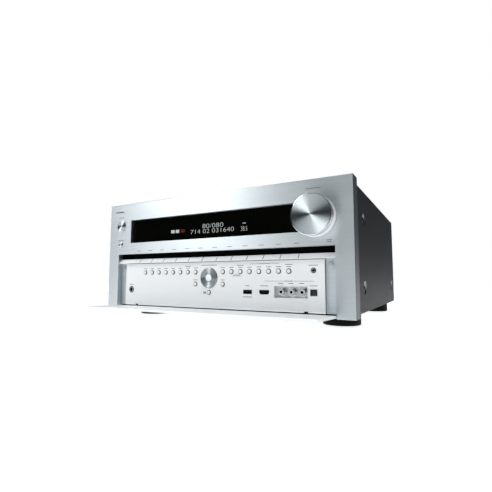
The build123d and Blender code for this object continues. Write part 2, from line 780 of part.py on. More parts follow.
def ac_inlet():
    """Three-pin mains inlet, without its cord."""
    x, z = INLET_AT
    body = block(around(x, 27.8), (BODY_D - 24, BODY_D), around(z, 20.3))
    body += block(around(x, 48), (BODY_D + 0.05, BODY_D + 3), around(z, 23.5))
    body += block(around(x, 27.8), (BODY_D - 0.5, BODY_D + 0.5), around(z, 20.3))
    body -= block(around(x, 24), (BODY_D - 17, BODY_D + 4), around(z, 15.5))
    for pin_x, pin_z in ((x - 7, z - 2), (x + 7, z - 2), (x, z + 2)):
        body += block(around(pin_x, 2), (BODY_D - 17.1, BODY_D - 2), around(pin_z, 4))
    return body


def main():
    os.makedirs("parts", exist_ok=True)
    write("fascia", fascia())
    write("display_window", display_window())
    write("volume_knob", volume_knob())
    write("power_button", front_key(POWER_AT, POWER_R, 1.2, 15.0))
    write("direct_button", front_key(DIRECT_AT, DIRECT_R, 1.0, 15.0))
    for index in range(KEY_COUNT):
        write(f"input_key_{index + 1:02d}", input_key(index))
    write("side_trims", *side_trim(-1), *side_trim(1))
    write("flap", flap())
    pins = [hinge_pin_solid(side, HINGE_PIN_R - 0.005) for side in (-1, 1)]
    write("hinge_pins", *pins)
    write("sub_panel", sub_panel())
    for index, (x, z) in enumerate(button_places()):
        write(f"panel_button_{index + 1:02d}", panel_button(x, z))
    write("cursor_ring", cursor_ring())
    write("cursor_gimbal", cursor_gimbal())
    write("enter_button", enter_button())
    phones = front_jack(PHONES_AT, 5.5, 8.0, PHONES_BORE_R, PHONES_BORE_L)
    microphone = front_jack(MIC_AT, 3.6, 4.6, MIC_BORE_R, MIC_BORE_L)
    write("front_jacks", phones, microphone)
    write("front_sockets", *front_sockets())
    write("front_boards", display_module(), *front_boards())
    write("front_carrier", front_carrier())
    write("chassis_pan", *chassis_pan())
    write("top_cover", top_cover())
    write("cover_screws", *cover_screws())
    write("rear_panel", rear_panel())
    write("feet", *feet())
    write("transformer", transformer())
    write("heat_sink", heat_sink())
    write("circuit_boards", *circuit_boards())
    write("reservoir_capacitors", *reservoir_capacitors())
    write("speaker_terminals", *speaker_terminals())
    write("rear_data_sockets", *rear_data_sockets())
    write("rear_sockets", *rear_sockets())
    write("ac_inlet", ac_inlet())


main()
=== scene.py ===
import math
import random

import bpy
from mathutils import Matrix, Vector


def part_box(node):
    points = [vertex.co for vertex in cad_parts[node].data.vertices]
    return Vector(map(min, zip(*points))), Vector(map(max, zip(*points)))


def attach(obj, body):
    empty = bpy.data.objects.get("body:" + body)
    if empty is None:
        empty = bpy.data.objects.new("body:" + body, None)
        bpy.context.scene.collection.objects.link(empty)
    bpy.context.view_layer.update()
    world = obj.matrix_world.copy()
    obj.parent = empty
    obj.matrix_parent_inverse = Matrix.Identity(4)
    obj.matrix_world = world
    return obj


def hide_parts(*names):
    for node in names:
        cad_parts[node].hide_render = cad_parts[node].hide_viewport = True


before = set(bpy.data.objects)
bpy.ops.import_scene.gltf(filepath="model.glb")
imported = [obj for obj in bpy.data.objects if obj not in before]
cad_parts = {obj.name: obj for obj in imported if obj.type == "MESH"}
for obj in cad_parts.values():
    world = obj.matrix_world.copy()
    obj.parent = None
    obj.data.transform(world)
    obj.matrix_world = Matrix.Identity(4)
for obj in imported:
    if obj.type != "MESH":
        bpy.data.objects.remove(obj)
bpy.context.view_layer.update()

# Silver home-cinema receiver. Metres, +Z up, floor at z = 0, front towards -Y.
MM = 0.001
TURN = 2 * math.pi
FASCIA_LOW, FASCIA_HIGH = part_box("fascia")
FRONT_Y = FASCIA_LOW.y
BASE_Z = FASCIA_LOW.z
PANEL_FACE_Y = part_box("sub_panel")[0].y
GLASS_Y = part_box("display_window")[0].y
REAR_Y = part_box("rear_panel")[1].y
COVER_LOW, COVER_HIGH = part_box("top_cover")
SIDE_X = COVER_HIGH.x
PHONO_X = (116.8, 131.5, 146.7)
PHONO_Z = 32.2
# places of the other front sockets, (x, z) in millimetres as front() takes them
HEADPHONES = (-164.8, 31.8)
MICROPHONE = (163.1, 61.1)
USB = (65.3, 31.4)
HDMI = (91.7, 31.5)
OPTICAL = (163.2, 32.1)
INK = 0.08 * MM
LABEL_THICK = 0.7
RULE_THICK = 0.35
FLAP_LIFT = math.radians(2)
# viewing place in metres, its turns in degrees, and the focal length in millimetres
CAMERA_AT = (0.31044, -0.61467, 0.06353)
CAMERA_YAW, CAMERA_PITCH, CAMERA_ROLL = 28.904, 95.446, 0.161
CAMERA_LENS = 25.99
KEY_NAMES = [f"input_key_{i + 1:02d}" for i in range(12)]
BUTTON_NAMES = [f"panel_button_{i + 1:02d}" for i in range(19)]
luck = random.Random(7)


def middle(node):
    low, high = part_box(node)
    return (low + high) / 2


def front(x, z, y=FRONT_Y):
    """A point on the front, from millimetres right of the centre and above the fascia's foot."""
    return Vector((x * MM, y, BASE_Z + z * MM))


# Materials ----------------------------------------------------------------------------------


def linear(code):
    """An sRGB hex colour as linear red, green, blue and alpha."""
    parts = [int(code[i:i + 2], 16) / 255 for i in (1, 3, 5)]
    bright = [p / 12.92 if p <= 0.04045 else ((p + 0.055) / 1.055) ** 2.4 for p in parts]
    return (*bright, 1.0)


def add(material, kind, sockets=None, **settings):
    """Adds one node; its sockets take values or other nodes' outputs."""
    tree = material.node_tree
    new = tree.nodes.new(kind)
    for name, value in settings.items():
        setattr(new, name, value)
    for name, value in (sockets or {}).items():
        if isinstance(value, bpy.types.NodeSocket):
            tree.links.new(value, new.inputs[name])
        else:
            new.inputs[name].default_value = value
    return new


def blank(name):
    material = bpy.data.materials.new(name)
    material.use_nodes = True
    material.node_tree.nodes.clear()
    return material


def surface(material, **sockets):
    """Ends a material with its shader; underscores in the names stand for spaces."""
    named = {name.replace("_", " "): value for name, value in sockets.items()}
    shader = add(material, "ShaderNodeBsdfPrincipled", named)
    add(material, "ShaderNodeOutputMaterial", {"Surface": shader.outputs["BSDF"]})
    return material


def grain(material, stretch, detail=2.0, roughness=0.5, centre=(0, 0, 0)):
    """Noise over the object's own place; stretch is how many features fit a metre each way."""
    place = add(material, "ShaderNodeTexCoord").outputs["Object"]
    shifted = [-c * s for c, s in zip(centre, stretch)]
    scaled = add(material, "ShaderNodeMapping", {"Vector": place, "Scale": stretch, "Location": shifted})
    settings = {"Vector": scaled.outputs["Vector"], "Scale": 1.0, "Detail": detail, "Roughness": roughness}
    return add(material, "ShaderNodeTexNoise", settings).outputs["Fac"]


def spread(material, value, low, high, from_low=0.3, from_high=0.7):
    """Stretches a 0 to 1 pattern to the range from low to high."""
    span = {"Value": value, "From Min": from_low, "From Max": from_high, "To Min": low, "To Max": high}
    return add(material, "ShaderNodeMapRange", span).outputs["Result"]


def between(material, factor, first, second, blend="MIX"):
    """Mixes two colours, given as hex or as outputs."""
    ends = [linear(c) if isinstance(c, str) else c for c in (first, second)]
    sockets = {0: factor, 6: ends[0], 7: ends[1]}
    return add(material, "ShaderNodeMix", sockets, data_type="RGBA", blend_type=blend).outputs[2]


def raised(material, height, depth, strength=1.0, normal=None):
    """Bump of a real depth in metres."""
    sockets = {"Height": height, "Distance": depth, "Strength": strength}
    if normal:
        sockets["Normal"] = normal
    return add(material, "ShaderNodeBump", sockets).outputs["Normal"]


def brushed_anodised_aluminium():
    """Brushed along X and clear anodised: fine streaks, and highlights drawn out up and down."""
    m = blank("brushed_anodised_aluminium")
    # hairlines 0.1 mm apart drawn at 0.7 mm, so that they show, and some 60 mm long
    hair = grain(m, (16, 400, 1400), 4.0, 0.7)
    cloud = grain(m, (6, 6, 9), 2.0)
    tone = between(m, spread(m, hair, 0.0, 1.0), "#c1c9cc", "#cdd4d7")
    tone = between(m, spread(m, cloud, 0.0, 0.3), tone, "#c5cdd0")
    # painted shade: the returned sides behind the corner are coloured dark grey to stand in for the dark they
    # face and reflect
    place = add(m, "ShaderNodeTexCoord").outputs["Object"]
    across = add(m, "ShaderNodeSeparateXYZ", {"Vector": place}).outputs["X"]
    side_shade_reach = add(m, "ShaderNodeMath", {0: across}, operation="ABSOLUTE").outputs["Value"]
    edge = FASCIA_HIGH.x
    tone = between(m, spread(m, side_shade_reach, 0.0, 1.0, edge - 0.3 * MM, edge - 0.05 * MM), tone, "#50595f")
    return surface(
        m, Base_Color=tone, Metallic=0.95, Roughness=spread(m, hair, 0.38, 0.46), Anisotropic=0.85,
        Anisotropic_Rotation=0.25, Normal=raised(m, hair, 0.007 * MM, 0.6),
        Tangent=add(m, "ShaderNodeTangent", direction_type="RADIAL", axis="Z").outputs["Tangent"],
    )


def trim_aluminium():
    """The posts are brushed and blue-grey; the fixed key ends above them are bright silver."""
    m = blank("trim_aluminium")
    place = add(m, "ShaderNodeTexCoord").outputs["Object"]
    height = add(m, "ShaderNodeSeparateXYZ", {"Vector": place}).outputs["Z"]
    key_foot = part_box("input_key_01")[0].z
    above = spread(m, height, 0.0, 1.0, key_foot, key_foot + 0.1 * MM)
    hair = grain(m, (22, 300, 900), 3.0, 0.6)
    tone = between(m, above, between(m, spread(m, hair, 0.0, 1.0), "#c6ced3", "#d2d9dd"), "#f0f2f3")
    return surface(
        m, Base_Color=tone, Metallic=0.4, Roughness=spread(m, hair, 0.34, 0.44),
        Normal=raised(m, hair, 0.01 * MM, 0.5),
    )


def flap_aluminium():
    """The flap's inner face is blasted and nearly white; its outer face is brushed like the fascia."""
    m = blank("two_sided_flap_aluminium")
    place = add(m, "ShaderNodeTexCoord").outputs["Object"]
    # the flap rests with its free edge lifted
    upright = {0: place, 1: (0, math.sin(FLAP_LIFT), math.cos(FLAP_LIFT))}
    level = add(m, "ShaderNodeVectorMath", upright, operation="DOT_PRODUCT").outputs["Value"]
    hinge = Vector((0, FRONT_Y + 1.6 * MM, BASE_Z + 2.6 * MM)).dot(Vector(upright[1]))
    inside = spread(m, level, 0.0, 1.0, hinge - 1.1 * MM, hinge - 0.95 * MM)
    hair = grain(m, (16, 1400, 400), 4.0, 0.7)
    outer = between(m, spread(m, hair, 0.0, 1.0), "#bcc4c8", "#cbd2d5")
    inner = between(m, spread(m, hair, 0.0, 1.0), "#f0f3f4", "#fafbfb")
    return surface(
        m, Base_Color=between(m, inside, outer, inner), Metallic=spread(m, inside, 0.9, 0.12, 0, 1),
        Roughness=spread(m, hair, 0.4, 0.5), Normal=raised(m, hair, 0.005 * MM, 0.5),
    )


def satin_anodised_aluminium(name, dark, pale, metal):
    """Bead blasted before anodising: pale, even, with hardly a streak."""
    m = blank(name)
    hair = grain(m, (22, 300, 900), 3.0, 0.6)
    grit = grain(m, (2500, 2500, 2500), 2.0)
    tone = between(m, spread(m, hair, 0.0, 1.0), dark, pale)
    return surface(
        m, Base_Color=tone, Metallic=metal, Roughness=spread(m, hair, 0.4, 0.5),
        Normal=raised(m, grit, 0.01 * MM, 0.5),
    )


def spun_aluminium(name, centre, rough=0.44, pale="#dfe7e9", dark="#c4ced1"):
    """Turned on a lathe: rings about the axis, and a highlight that fans out from the middle."""
    m = blank(name)
    place = add(m, "ShaderNodeTexCoord").outputs["Object"]
    flat = {0: place, 1: centre}
    from_axis = add(m, "ShaderNodeVectorMath", flat, operation="SUBTRACT").outputs["Vector"]
    across = add(m, "ShaderNodeVectorMath", {0: from_axis, 1: (1, 0, 1)}, operation="MULTIPLY")
    radius = add(m, "ShaderNodeVectorMath", {0: across.outputs["Vector"]}, operation="LENGTH")
    # tool marks 0.15 mm apart drawn at 0.5 mm
    rings = add(m, "ShaderNodeTexNoise", {"W": radius.outputs["Value"], "Scale": 2000.0, "Detail": 3.0},
                noise_dimensions="1D").outputs["Fac"]
    tone = between(m, spread(m, rings, 0.0, 1.0), dark, pale)
    return surface(
        m, Base_Color=tone, Metallic=1.0, Roughness=spread(m, rings, rough - 0.04, rough + 0.05),
        Anisotropic=1.0, Anisotropic_Rotation=0.25, Normal=raised(m, rings, 0.006 * MM, 0.5),
        Tangent=add(m, "ShaderNodeTangent", direction_type="RADIAL", axis="Y").outputs["Tangent"],
    )


def polished_aluminium():
    """Diamond cut and left bright: a near mirror with the faintest tool marks."""
    m = blank("polished_aluminium")
    marks = grain(m, (600, 600, 600), 2.0)
    return surface(
        m, Base_Color=between(m, marks, "#eceef0", "#f6f7f8"), Metallic=1.0,
        Roughness=spread(m, marks, 0.1, 0.17), Normal=raised(m, marks, 0.004 * MM, 0.4),
    )


def painted_highlight_white():
    """White base colour with a soft sheen, a painted highlight: on the knob's foot ring it stands in for the
    bright reflection on its polished wall; the enter button is painted with it too.
    """
    m = blank("painted_highlight_white")
    grit = grain(m, (2600, 2600, 2600), 2.0)
    cloud = grain(m, (60, 60, 60), 2.0)
    return surface(
        m, Base_Color=between(m, cloud, "#fafbfc", "#ffffff"), Metallic=0.15,
        Roughness=spread(m, grit, 0.3, 0.42), Normal=raised(m, grit, 0.006 * MM, 0.4),
    )


def silver_lacquered_abs():
    """Moulded ABS under silver lacquer: fine metal flake under a soft gloss."""
    m = blank("silver_lacquered_abs")
    place = add(m, "ShaderNodeTexCoord").outputs["Object"]
    flake = add(m, "ShaderNodeTexVoronoi", {"Vector": place, "Scale": 3500.0}).outputs["Color"]
    cloud = grain(m, (40, 40, 40))
    tone = between(m, 0.06, between(m, cloud, "#eceff0", "#f5f6f7"), flake)
    return surface(
        m, Base_Color=tone, Metallic=0.3, Roughness=spread(m, cloud, 0.3, 0.38), Coat_Weight=0.15,
        Coat_Roughness=0.2, Normal=raised(m, cloud, 0.02 * MM, 0.3),
    )


def smoked_acrylic():
    """Black acrylic window: deep and clean, with a hard, weak reflection."""
    m = blank("smoked_acrylic")
    haze = grain(m, (18, 18, 30), 3.0)
    return surface(
        m, Base_Color=between(m, haze, "#030403", "#080906"), Roughness=spread(m, haze, 0.05, 0.09),
        IOR=1.49, Specular_IOR_Level=0.06, Normal=raised(m, haze, 0.01 * MM, 0.2),
    )


def satin_powder_coat():
    """Dark grey powder coat on sheet steel: a fine orange-peel grit that breaks up the light."""
    m = blank("satin_powder_coat")
    grit = grain(m, (1100, 1100, 1100), 3.0, 0.6)
    peel = grain(m, (160, 160, 160), 2.0)
    cloud = grain(m, (7, 7, 7), 2.0)
    tone = between(m, spread(m, grit, 0.0, 1.0), "#181b1d", "#25292c")
    tone = between(m, spread(m, cloud, 0.0, 0.3), tone, "#282d30")
    bumps = raised(m, peel, 0.03 * MM, 0.5)
    return surface(
        m, Base_Color=tone, Roughness=spread(m, grit, 0.42, 0.6), IOR=1.5, Specular_IOR_Level=0.2,
        Normal=raised(m, grit, 0.05 * MM, 0.8, bumps),
    )


def textured_black_paint():
    """Black wrinkle paint on the rear sheet: coarse and matt."""
    m = blank("textured_black_paint")
    place = add(m, "ShaderNodeTexCoord").outputs["Object"]
    wrinkle = add(m, "ShaderNodeTexVoronoi", {"Vector": place, "Scale": 900.0}).outputs["Distance"]
    cloud = grain(m, (12, 12, 12), 3.0)
    tone = between(m, cloud, "#17181a", "#212325")
    return surface(
        m, Base_Color=tone, Roughness=spread(m, cloud, 0.5, 0.66), IOR=1.5,
        Normal=raised(m, wrinkle, 0.06 * MM, 0.7),
    )


def zinc_plated_steel():
    """Zinc plated sheet: grey with broad crystal flakes of slightly different shine."""
    m = blank("zinc_plated_steel")
    place = add(m, "ShaderNodeTexCoord").outputs["Object"]
    flakes = add(m, "ShaderNodeTexVoronoi", {"Vector": place, "Scale": 160.0}).outputs["Color"]
    streak = grain(m, (30, 600, 30), 3.0)
    tone = between(m, 0.18, between(m, streak, "#8c9093", "#a9adb0"), flakes, "OVERLAY")
    return surface(
        m, Base_Color=tone, Metallic=0.95, Roughness=spread(m, streak, 0.34, 0.48),
        Normal=raised(m, streak, 0.01 * MM, 0.4),
    )


def bright_steel(name="nickel_plated_steel", dark="#b9bbbc", pale="#d8dadb", rough=0.2):
    """Plated metal with a soft shine and faint handling marks."""
    m = blank(name)
    marks = grain(m, (500, 500, 500), 4.0, 0.6)
    return surface(
        m, Base_Color=between(m, marks, dark, pale), Metallic=1.0,
        Roughness=spread(m, marks, rough - 0.04, rough + 0.08), Normal=raised(m, marks, 0.005 * MM, 0.5),
    )


def moulded_plastic(name, dark, pale, rough=0.45, grit_size=1400, gloss=0.5):
    """Spark-eroded moulding: a fine even grain and slightly shiny high spots."""
    m = blank(name)
    grit = grain(m, (grit_size, grit_size, grit_size), 3.0)
    cloud = grain(m, (30, 30, 30), 2.0)
    tone = between(m, cloud, dark, pale)
    return surface(
        m, Base_Color=tone, Roughness=spread(m, grit, rough - 0.07, rough + 0.1), IOR=1.53,
        Specular_IOR_Level=gloss, Normal=raised(m, grit, 0.03 * MM, 0.6),
    )


def printed_ink(name, dark, pale):
    """Screen-printed ink: flat, slightly broken at its edges."""
    m = blank(name)
    speckle = grain(m, (3000, 3000, 3000), 2.0)
    return surface(m, Base_Color=between(m, speckle, dark, pale), Roughness=spread(m, speckle, 0.5, 0.7))


def display_phosphor(name, dim, lit, power):
    """Vacuum fluorescent segments seen through smoked acrylic: an even, cool glow."""
    m = blank(name)
    mesh = grain(m, (1500, 1500, 1500), 1.0)
    glow = between(m, spread(m, mesh, 0.0, 1.0), dim, lit)
    return surface(
        m, Base_Color=linear("#0a0a0a"), Roughness=0.4, Emission_Color=glow, Emission_Strength=power,
    )


def circuit_board():
    """Green solder mask over copper tracks: glossy, with paler lines where the tracks run."""
    m = blank("solder_masked_board")
    place = add(m, "ShaderNodeTexCoord").outputs["Object"]
    tracks = add(m, "ShaderNodeTexBrick", {
        "Vector": place, "Scale": 140.0, "Mortar Size": 0.05, "Color1": linear("#0f4a26"),
        "Color2": linear("#12552c"), "Mortar": linear("#2f8a4c"),
    })
    speckle = grain(m, (300, 300, 300), 3.0)
    return surface(
        m, Base_Color=between(m, spread(m, speckle, 0.0, 0.3), tracks.outputs["Color"], "#0b3a1d"),
        Roughness=spread(m, speckle, 0.25, 0.45), IOR=1.5,
        Normal=raised(m, tracks.outputs["Fac"], 0.03 * MM, 0.5),
    )


def extruded_aluminium():
    """Extruded fins: long die lines and a dull mill finish."""
    m = blank("extruded_aluminium")
    lines = grain(m, (1600, 1600, 14), 3.0)
    return surface(
        m, Base_Color=between(m, spread(m, lines, 0.0, 1.0), "#85898c", "#a6aaad"), Metallic=0.95,
        Roughness=spread(m, lines, 0.38, 0.52), Normal=raised(m, lines, 0.02 * MM, 0.6),
    )


def laminated_steel():
    """Stacked transformer sheets: thin dark joints between bright edges."""
    m = blank("laminated_steel")
    place = add(m, "ShaderNodeTexCoord").outputs["Object"]
    bands = add(m, "ShaderNodeTexWave", {"Vector": place, "Scale": 260.0, "Distortion": 0.3},
                wave_type="BANDS", bands_direction="Z").outputs["Fac"]
    rust = grain(m, (40, 40, 40), 4.0)
    tone = between(m, bands, "#4b4c4e", "#7d7f80")
    return surface(
        m, Base_Color=between(m, spread(m, rust, 0.0, 0.25), tone, "#5e4a3a"), Metallic=0.8,
        Roughness=spread(m, rust, 0.4, 0.6), Normal=raised(m, bands, 0.05 * MM, 0.5),
    )


def shrink_sleeve():
    """PVC sleeve on the capacitors: dark, glossy, slightly rippled."""
    m = blank("shrink_sleeve")
    ripple = grain(m, (60, 60, 12), 3.0)
    return surface(
        m, Base_Color=between(m, ripple, "#15171d", "#20242d"), Roughness=spread(m, ripple, 0.2, 0.34),
        IOR=1.53, Normal=raised(m, ripple, 0.08 * MM, 0.4),
    )


def socket_plating():
    """Nickel barrels with black bores; the USB and HDMI shells beside them are blackened."""
    m = blank("nickel_and_black_shells")
    place = add(m, "ShaderNodeTexCoord").outputs["Object"]
    across = add(m, "ShaderNodeSeparateXYZ", {"Vector": place}).outputs["X"]
    plated = spread(m, across, 0.0, 1.0, 103 * MM, 104 * MM)
    flat = add(m, "ShaderNodeVectorMath", {0: place, 1: (1, 0, 1)}, operation="MULTIPLY").outputs["Vector"]
    for x in PHONO_X:
        off = {0: flat, 1: (x * MM, 0, BASE_Z + PHONO_Z * MM)}
        radius = add(m, "ShaderNodeVectorMath", off, operation="DISTANCE").outputs["Value"]
        outside = spread(m, radius, 0.0, 1.0, 2.3 * MM, 2.35 * MM)
        plated = add(m, "ShaderNodeMath", {0: plated, 1: outside}, operation="MINIMUM").outputs["Value"]
    marks = grain(m, (500, 500, 500), 4.0, 0.6)
    return surface(
        m, Base_Color=between(m, plated, "#0a0b0c", between(m, marks, "#b9bbbc", "#d8dadb")),
        Metallic=spread(m, plated, 0.2, 1.0, 0, 1), Roughness=spread(m, marks, 0.22, 0.36),
        Normal=raised(m, marks, 0.005 * MM, 0.5),
    )


FASCIA_METAL = brushed_anodised_aluminium()
TRIM_METAL = trim_aluminium()
SHELLS = socket_plating()
PANEL_METAL = satin_anodised_aluminium("satin_anodised_aluminium", "#eff2f3", "#f5f7f7", 0.22)
FLAP_METAL = flap_aluminium()
POLISHED = polished_aluminium()
PAINTED_HIGHLIGHT_WHITE = painted_highlight_white()
SILVER = silver_lacquered_abs()
GLASS = smoked_acrylic()
COVER = satin_powder_coat()
REAR_PAINT = textured_black_paint()
ZINC = zinc_plated_steel()
NICKEL = bright_steel()
WASHER_STEEL = bright_steel("dished_washer_steel", "#62686b", "#7d8386", 0.3)
SOCKET_STEEL = bright_steel("pressed_socket_steel", "#7f8386", "#999da0", 0.3)
BLACKENED = bright_steel("blackened_steel", "#191b1c", "#292c2e", 0.3)
DULL_GOLD = bright_steel("dull_gold_contacts", "#3f351d", "#594a28", 0.35)
CHROME = bright_steel("chromed_steel", "#d9dbdc", "#eceded", 0.1)
GOLD = bright_steel("gold_plated_brass", "#c79a45", "#e2bd6c", 0.2)
BLACK = moulded_plastic("black_moulded_abs", "#0d0e0f", "#16181a", 0.4)
MATT_BLACK = moulded_plastic("matt_black_moulding", "#020202", "#060606", 0.7, gloss=0.05)
FOOT_BLACK = moulded_plastic("foot_moulding", "#030303", "#070707", 0.5, gloss=0.12)
RUBBER = moulded_plastic("nitrile_rubber", "#0b0b0b", "#131313", 0.75, 900)
TONGUE = moulded_plastic("glass_filled_nylon", "#0b0c0d", "#131415", 0.5, gloss=0.2)
WHITE_NYLON = moulded_plastic("white_nylon", "#d6d6d2", "#e8e8e4", 0.5)
INK_GREY = printed_ink("grey_screen_print", "#33373b", "#3f4347")
INK_DARK = printed_ink("dark_screen_print", "#1b1d20", "#26292c")
INK_WHITE = printed_ink("white_screen_print", "#c9cccf", "#dadcde")
GLOW = display_phosphor("white_phosphor", "#a4b0b0", "#e4eeed", 0.85)
GLOW_RED = display_phosphor("red_phosphor", "#8c1a16", "#c22a22", 0.55)
BOARD = circuit_board()
FINS = extruded_aluminium()
LAMINATED = laminated_steel()
SLEEVE = shrink_sleeve()
PLUG_COLOURS = {
    "white": moulded_plastic("white_plug_insert", "#d2d3d2", "#e6e7e6", 0.4),
    "red": moulded_plastic("red_plug_insert", "#8e1216", "#b01c20", 0.4),
    "yellow": moulded_plastic("yellow_plug_insert", "#c79a10", "#e0b421", 0.4),
    "black": moulded_plastic("black_plug_insert", "#101112", "#1b1c1d", 0.4),
    "green": moulded_plastic("green_plug_insert", "#14632f", "#1e7d3f", 0.4),
    "blue": moulded_plastic("blue_plug_insert", "#163c86", "#2150a8", 0.4),
}


# Making ---------------------------------------------------------------------------------------


def deselect():
    bpy.ops.object.select_all(action="DESELECT")


def edit(select="VERT"):
    """Enters edit mode, choosing by points, edges or faces."""
    bpy.context.tool_settings.mesh_select_mode = [select == kind for kind in ("VERT", "EDGE", "FACE")]
    bpy.ops.object.mode_set(mode="EDIT")


def leave():
    bpy.ops.object.mode_set(mode="OBJECT")


def settle():
    """Moves the active piece's place, turn and size into its mesh."""
    bpy.ops.object.transform_apply(location=True, rotation=True, scale=True)
    return bpy.context.object


def turned(x, z, profile, steps=64):
    """Spins (radius, y) points, in metres, about a line along Y through x and z."""
    deselect()
    first = profile[0]
    bpy.ops.mesh.primitive_plane_add(size=MM, location=(x + first[0], first[1], z))
    edit()
    bpy.ops.mesh.merge(type="CENTER")
    for (r0, y0), (r1, y1) in zip(profile, profile[1:]):
        bpy.ops.mesh.extrude_region_move(TRANSFORM_OT_translate={"value": (r1 - r0, y1 - y0, 0)})
    bpy.ops.mesh.select_all(action="SELECT")
    bpy.ops.mesh.spin(steps=steps, angle=TURN, center=(x, 0, z), axis=(0, 1, 0))
    bpy.ops.mesh.select_all(action="SELECT")
    bpy.ops.mesh.remove_doubles(threshold=0.002 * MM)
    bpy.ops.mesh.normals_make_consistent(inside=False)
    leave()
    bpy.ops.object.shade_smooth_by_angle(angle=math.radians(35))
    return settle()


def outward(y, points):
    """A profile in metres from (radius, distance from y) in millimetres."""
    return [(radius * MM, y + out * MM) for radius, out in points]


def rounded(low, high, radius, segments=2):
    """A block between two corners with its edges bevelled."""
    deselect()
    low, high = Vector(low), Vector(high)
    bpy.ops.mesh.primitive_cube_add(size=1, location=(low + high) / 2, scale=high - low)
    settle()
    edit()
    bpy.ops.mesh.bevel(offset=radius, segments=segments, affect="EDGES")
    leave()
    bpy.ops.object.shade_smooth_by_angle(angle=math.radians(35))
    return bpy.context.object


def sleeve(low, high, wall, depth, radius):
    """A block open at the front: its -Y face is inset and pushed back."""
    piece = rounded(low, high, radius, 1)
    edit("FACE")
    bpy.ops.mesh.select_all(action="DESELECT")
    leave()
    faces = sorted(piece.data.polygons, key=lambda f: (round(f.normal.y, 3), -f.area))
    faces[0].select = True
    edit("FACE")
    bpy.ops.mesh.inset(thickness=wall, depth=0)
    bpy.ops.mesh.extrude_region_move(TRANSFORM_OT_translate={"value": (0, depth, 0)})
    leave()
    return piece


def copied(piece, move):
    """A copy with a mesh of its own, moved by a matrix or a vector."""
    twin = piece.copy()
    twin.data = piece.data.copy()
    twin.data.transform(move if isinstance(move, Matrix) else Matrix.Translation(move))
    bpy.context.collection.objects.link(twin)
    return twin


def joined(pieces):
    """Makes one piece of several."""
    deselect()
    for piece in pieces:
        piece.select_set(True)
    bpy.context.view_layer.objects.active = pieces[0]
    if len(pieces) > 1:
        bpy.ops.object.join()
    return bpy.context.object


def finish(piece, name, material, body, slot, *replaced):
    """Names a piece, paints it and hands it to the frame."""
    piece.name = name
    piece.data.name = name
    if material:
        piece.data.materials.clear()
        piece.data.materials.append(material)
    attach(piece, body)
    if replaced:
        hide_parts(*replaced)
    return piece


def about(point, turn, axis):
    """A turn about a line through a point."""
    move = Matrix.Translation(point)
    return move @ Matrix.Rotation(turn, 4, axis) @ move.inverted()


# Volume knob ------------------------------------------------------------------------------------


def volume_knob():
    low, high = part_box("volume_knob")
    centre = middle("volume_knob")
    radius = (high.x - low.x) / 2
    face_y = low.y
    base_y = FRONT_Y - 0.8 * MM
    rim = radius - 0.3 * MM
    face = turned(centre.x, centre.z, (
        (0, face_y),
        (rim * 0.5, face_y + 0.5 * MM),
        (rim - 1.6 * MM, face_y + 1.3 * MM),
        (rim - 1.0 * MM, face_y + 1.25 * MM),
    ), 128)
    spun = spun_aluminium("spun_aluminium_knob", centre)
    finish(face, "volume_knob_face", spun, "volume_knob", "turned_aluminium", "volume_knob")
    edge = turned(centre.x, centre.z, (
        (rim - 1.0 * MM, face_y + 1.25 * MM),
        (rim - 0.7 * MM, face_y + 1.2 * MM),
        (rim - 0.1 * MM, face_y + 1.4 * MM),
        (rim, face_y + 1.8 * MM),
        (rim, face_y + 2.4 * MM),
    ), 128)
    finish(edge, "volume_knob_rim", POLISHED, "volume_knob", "turned_aluminium")
    wall = turned(centre.x, centre.z, (
        (rim, face_y + 2.4 * MM),
        (rim, base_y - 12.4 * MM),
        (rim - 0.3 * MM, base_y - 12.2 * MM),
        (rim - 0.3 * MM, base_y - 11.8 * MM),
    ), 128)
    around = spun_aluminium("spun_aluminium_wall", centre, 0.3, "#d3d6dc", "#bcc0c8")
    finish(wall, "volume_knob_wall", around, "volume_knob", "turned_aluminium")
    skirt = turned(centre.x, centre.z, (
        (rim - 0.3 * MM, base_y - 11.8 * MM),
        (rim + 0.1 * MM, base_y - 11.6 * MM),
        (radius, base_y - 11.0 * MM),
        (radius, base_y - 1.0 * MM),
        (radius - 0.4 * MM, base_y - 0.2 * MM),
        (radius - 1.2 * MM, base_y),
        (3.0 * MM, base_y),
        (3.0 * MM, high.y),
        (0, high.y),
    ), 128)
    # the skirt is painted white: a painted highlight for the bright reflection on its polished wall
    finish(skirt, "volume_knob_skirt", PAINTED_HIGHLIGHT_WHITE, "volume_knob", "turned_aluminium")


# Printing ---------------------------------------------------------------------------------------


def rule(x_low, x_high, z, thick, y):
    """A printed line between two places, millimetres on the front."""
    low = front(x_low, z - thick / 2, y - INK)
    high = front(x_high, z + thick / 2, y)
    return rounded(low, high, 0.02 * MM, 1)


def label(x, z, wide, y, thick=LABEL_THICK):
    """A plain printed bar, centred, where the real face has a word."""
    return rule(x - wide / 2, x + wide / 2, z, thick, y)


def fascia_print():
    """Bars over the input keys, by the two round buttons and over the knob, and one at the corner."""
    marks = [label(middle(name).x / MM - 1.5, 97.2, 8.0, FRONT_Y) for name in KEY_NAMES]
    for x, z, wide in (
        (186, 99.6, 8), (186, 97.4, 6), (-189.5, 117.8, 14), (-189.5, 158.5, 13), (165.5, 169, 21),
    ):
        marks.append(label(x, z, wide, FRONT_Y))
    finish(joined(marks), "fascia_print", INK_GREY, "cabinet", "front_aluminium")
    finish(label(-194, 168.6, 20, FRONT_Y, 1.6), "fascia_corner_bar", INK_DARK, "cabinet", "front_aluminium")


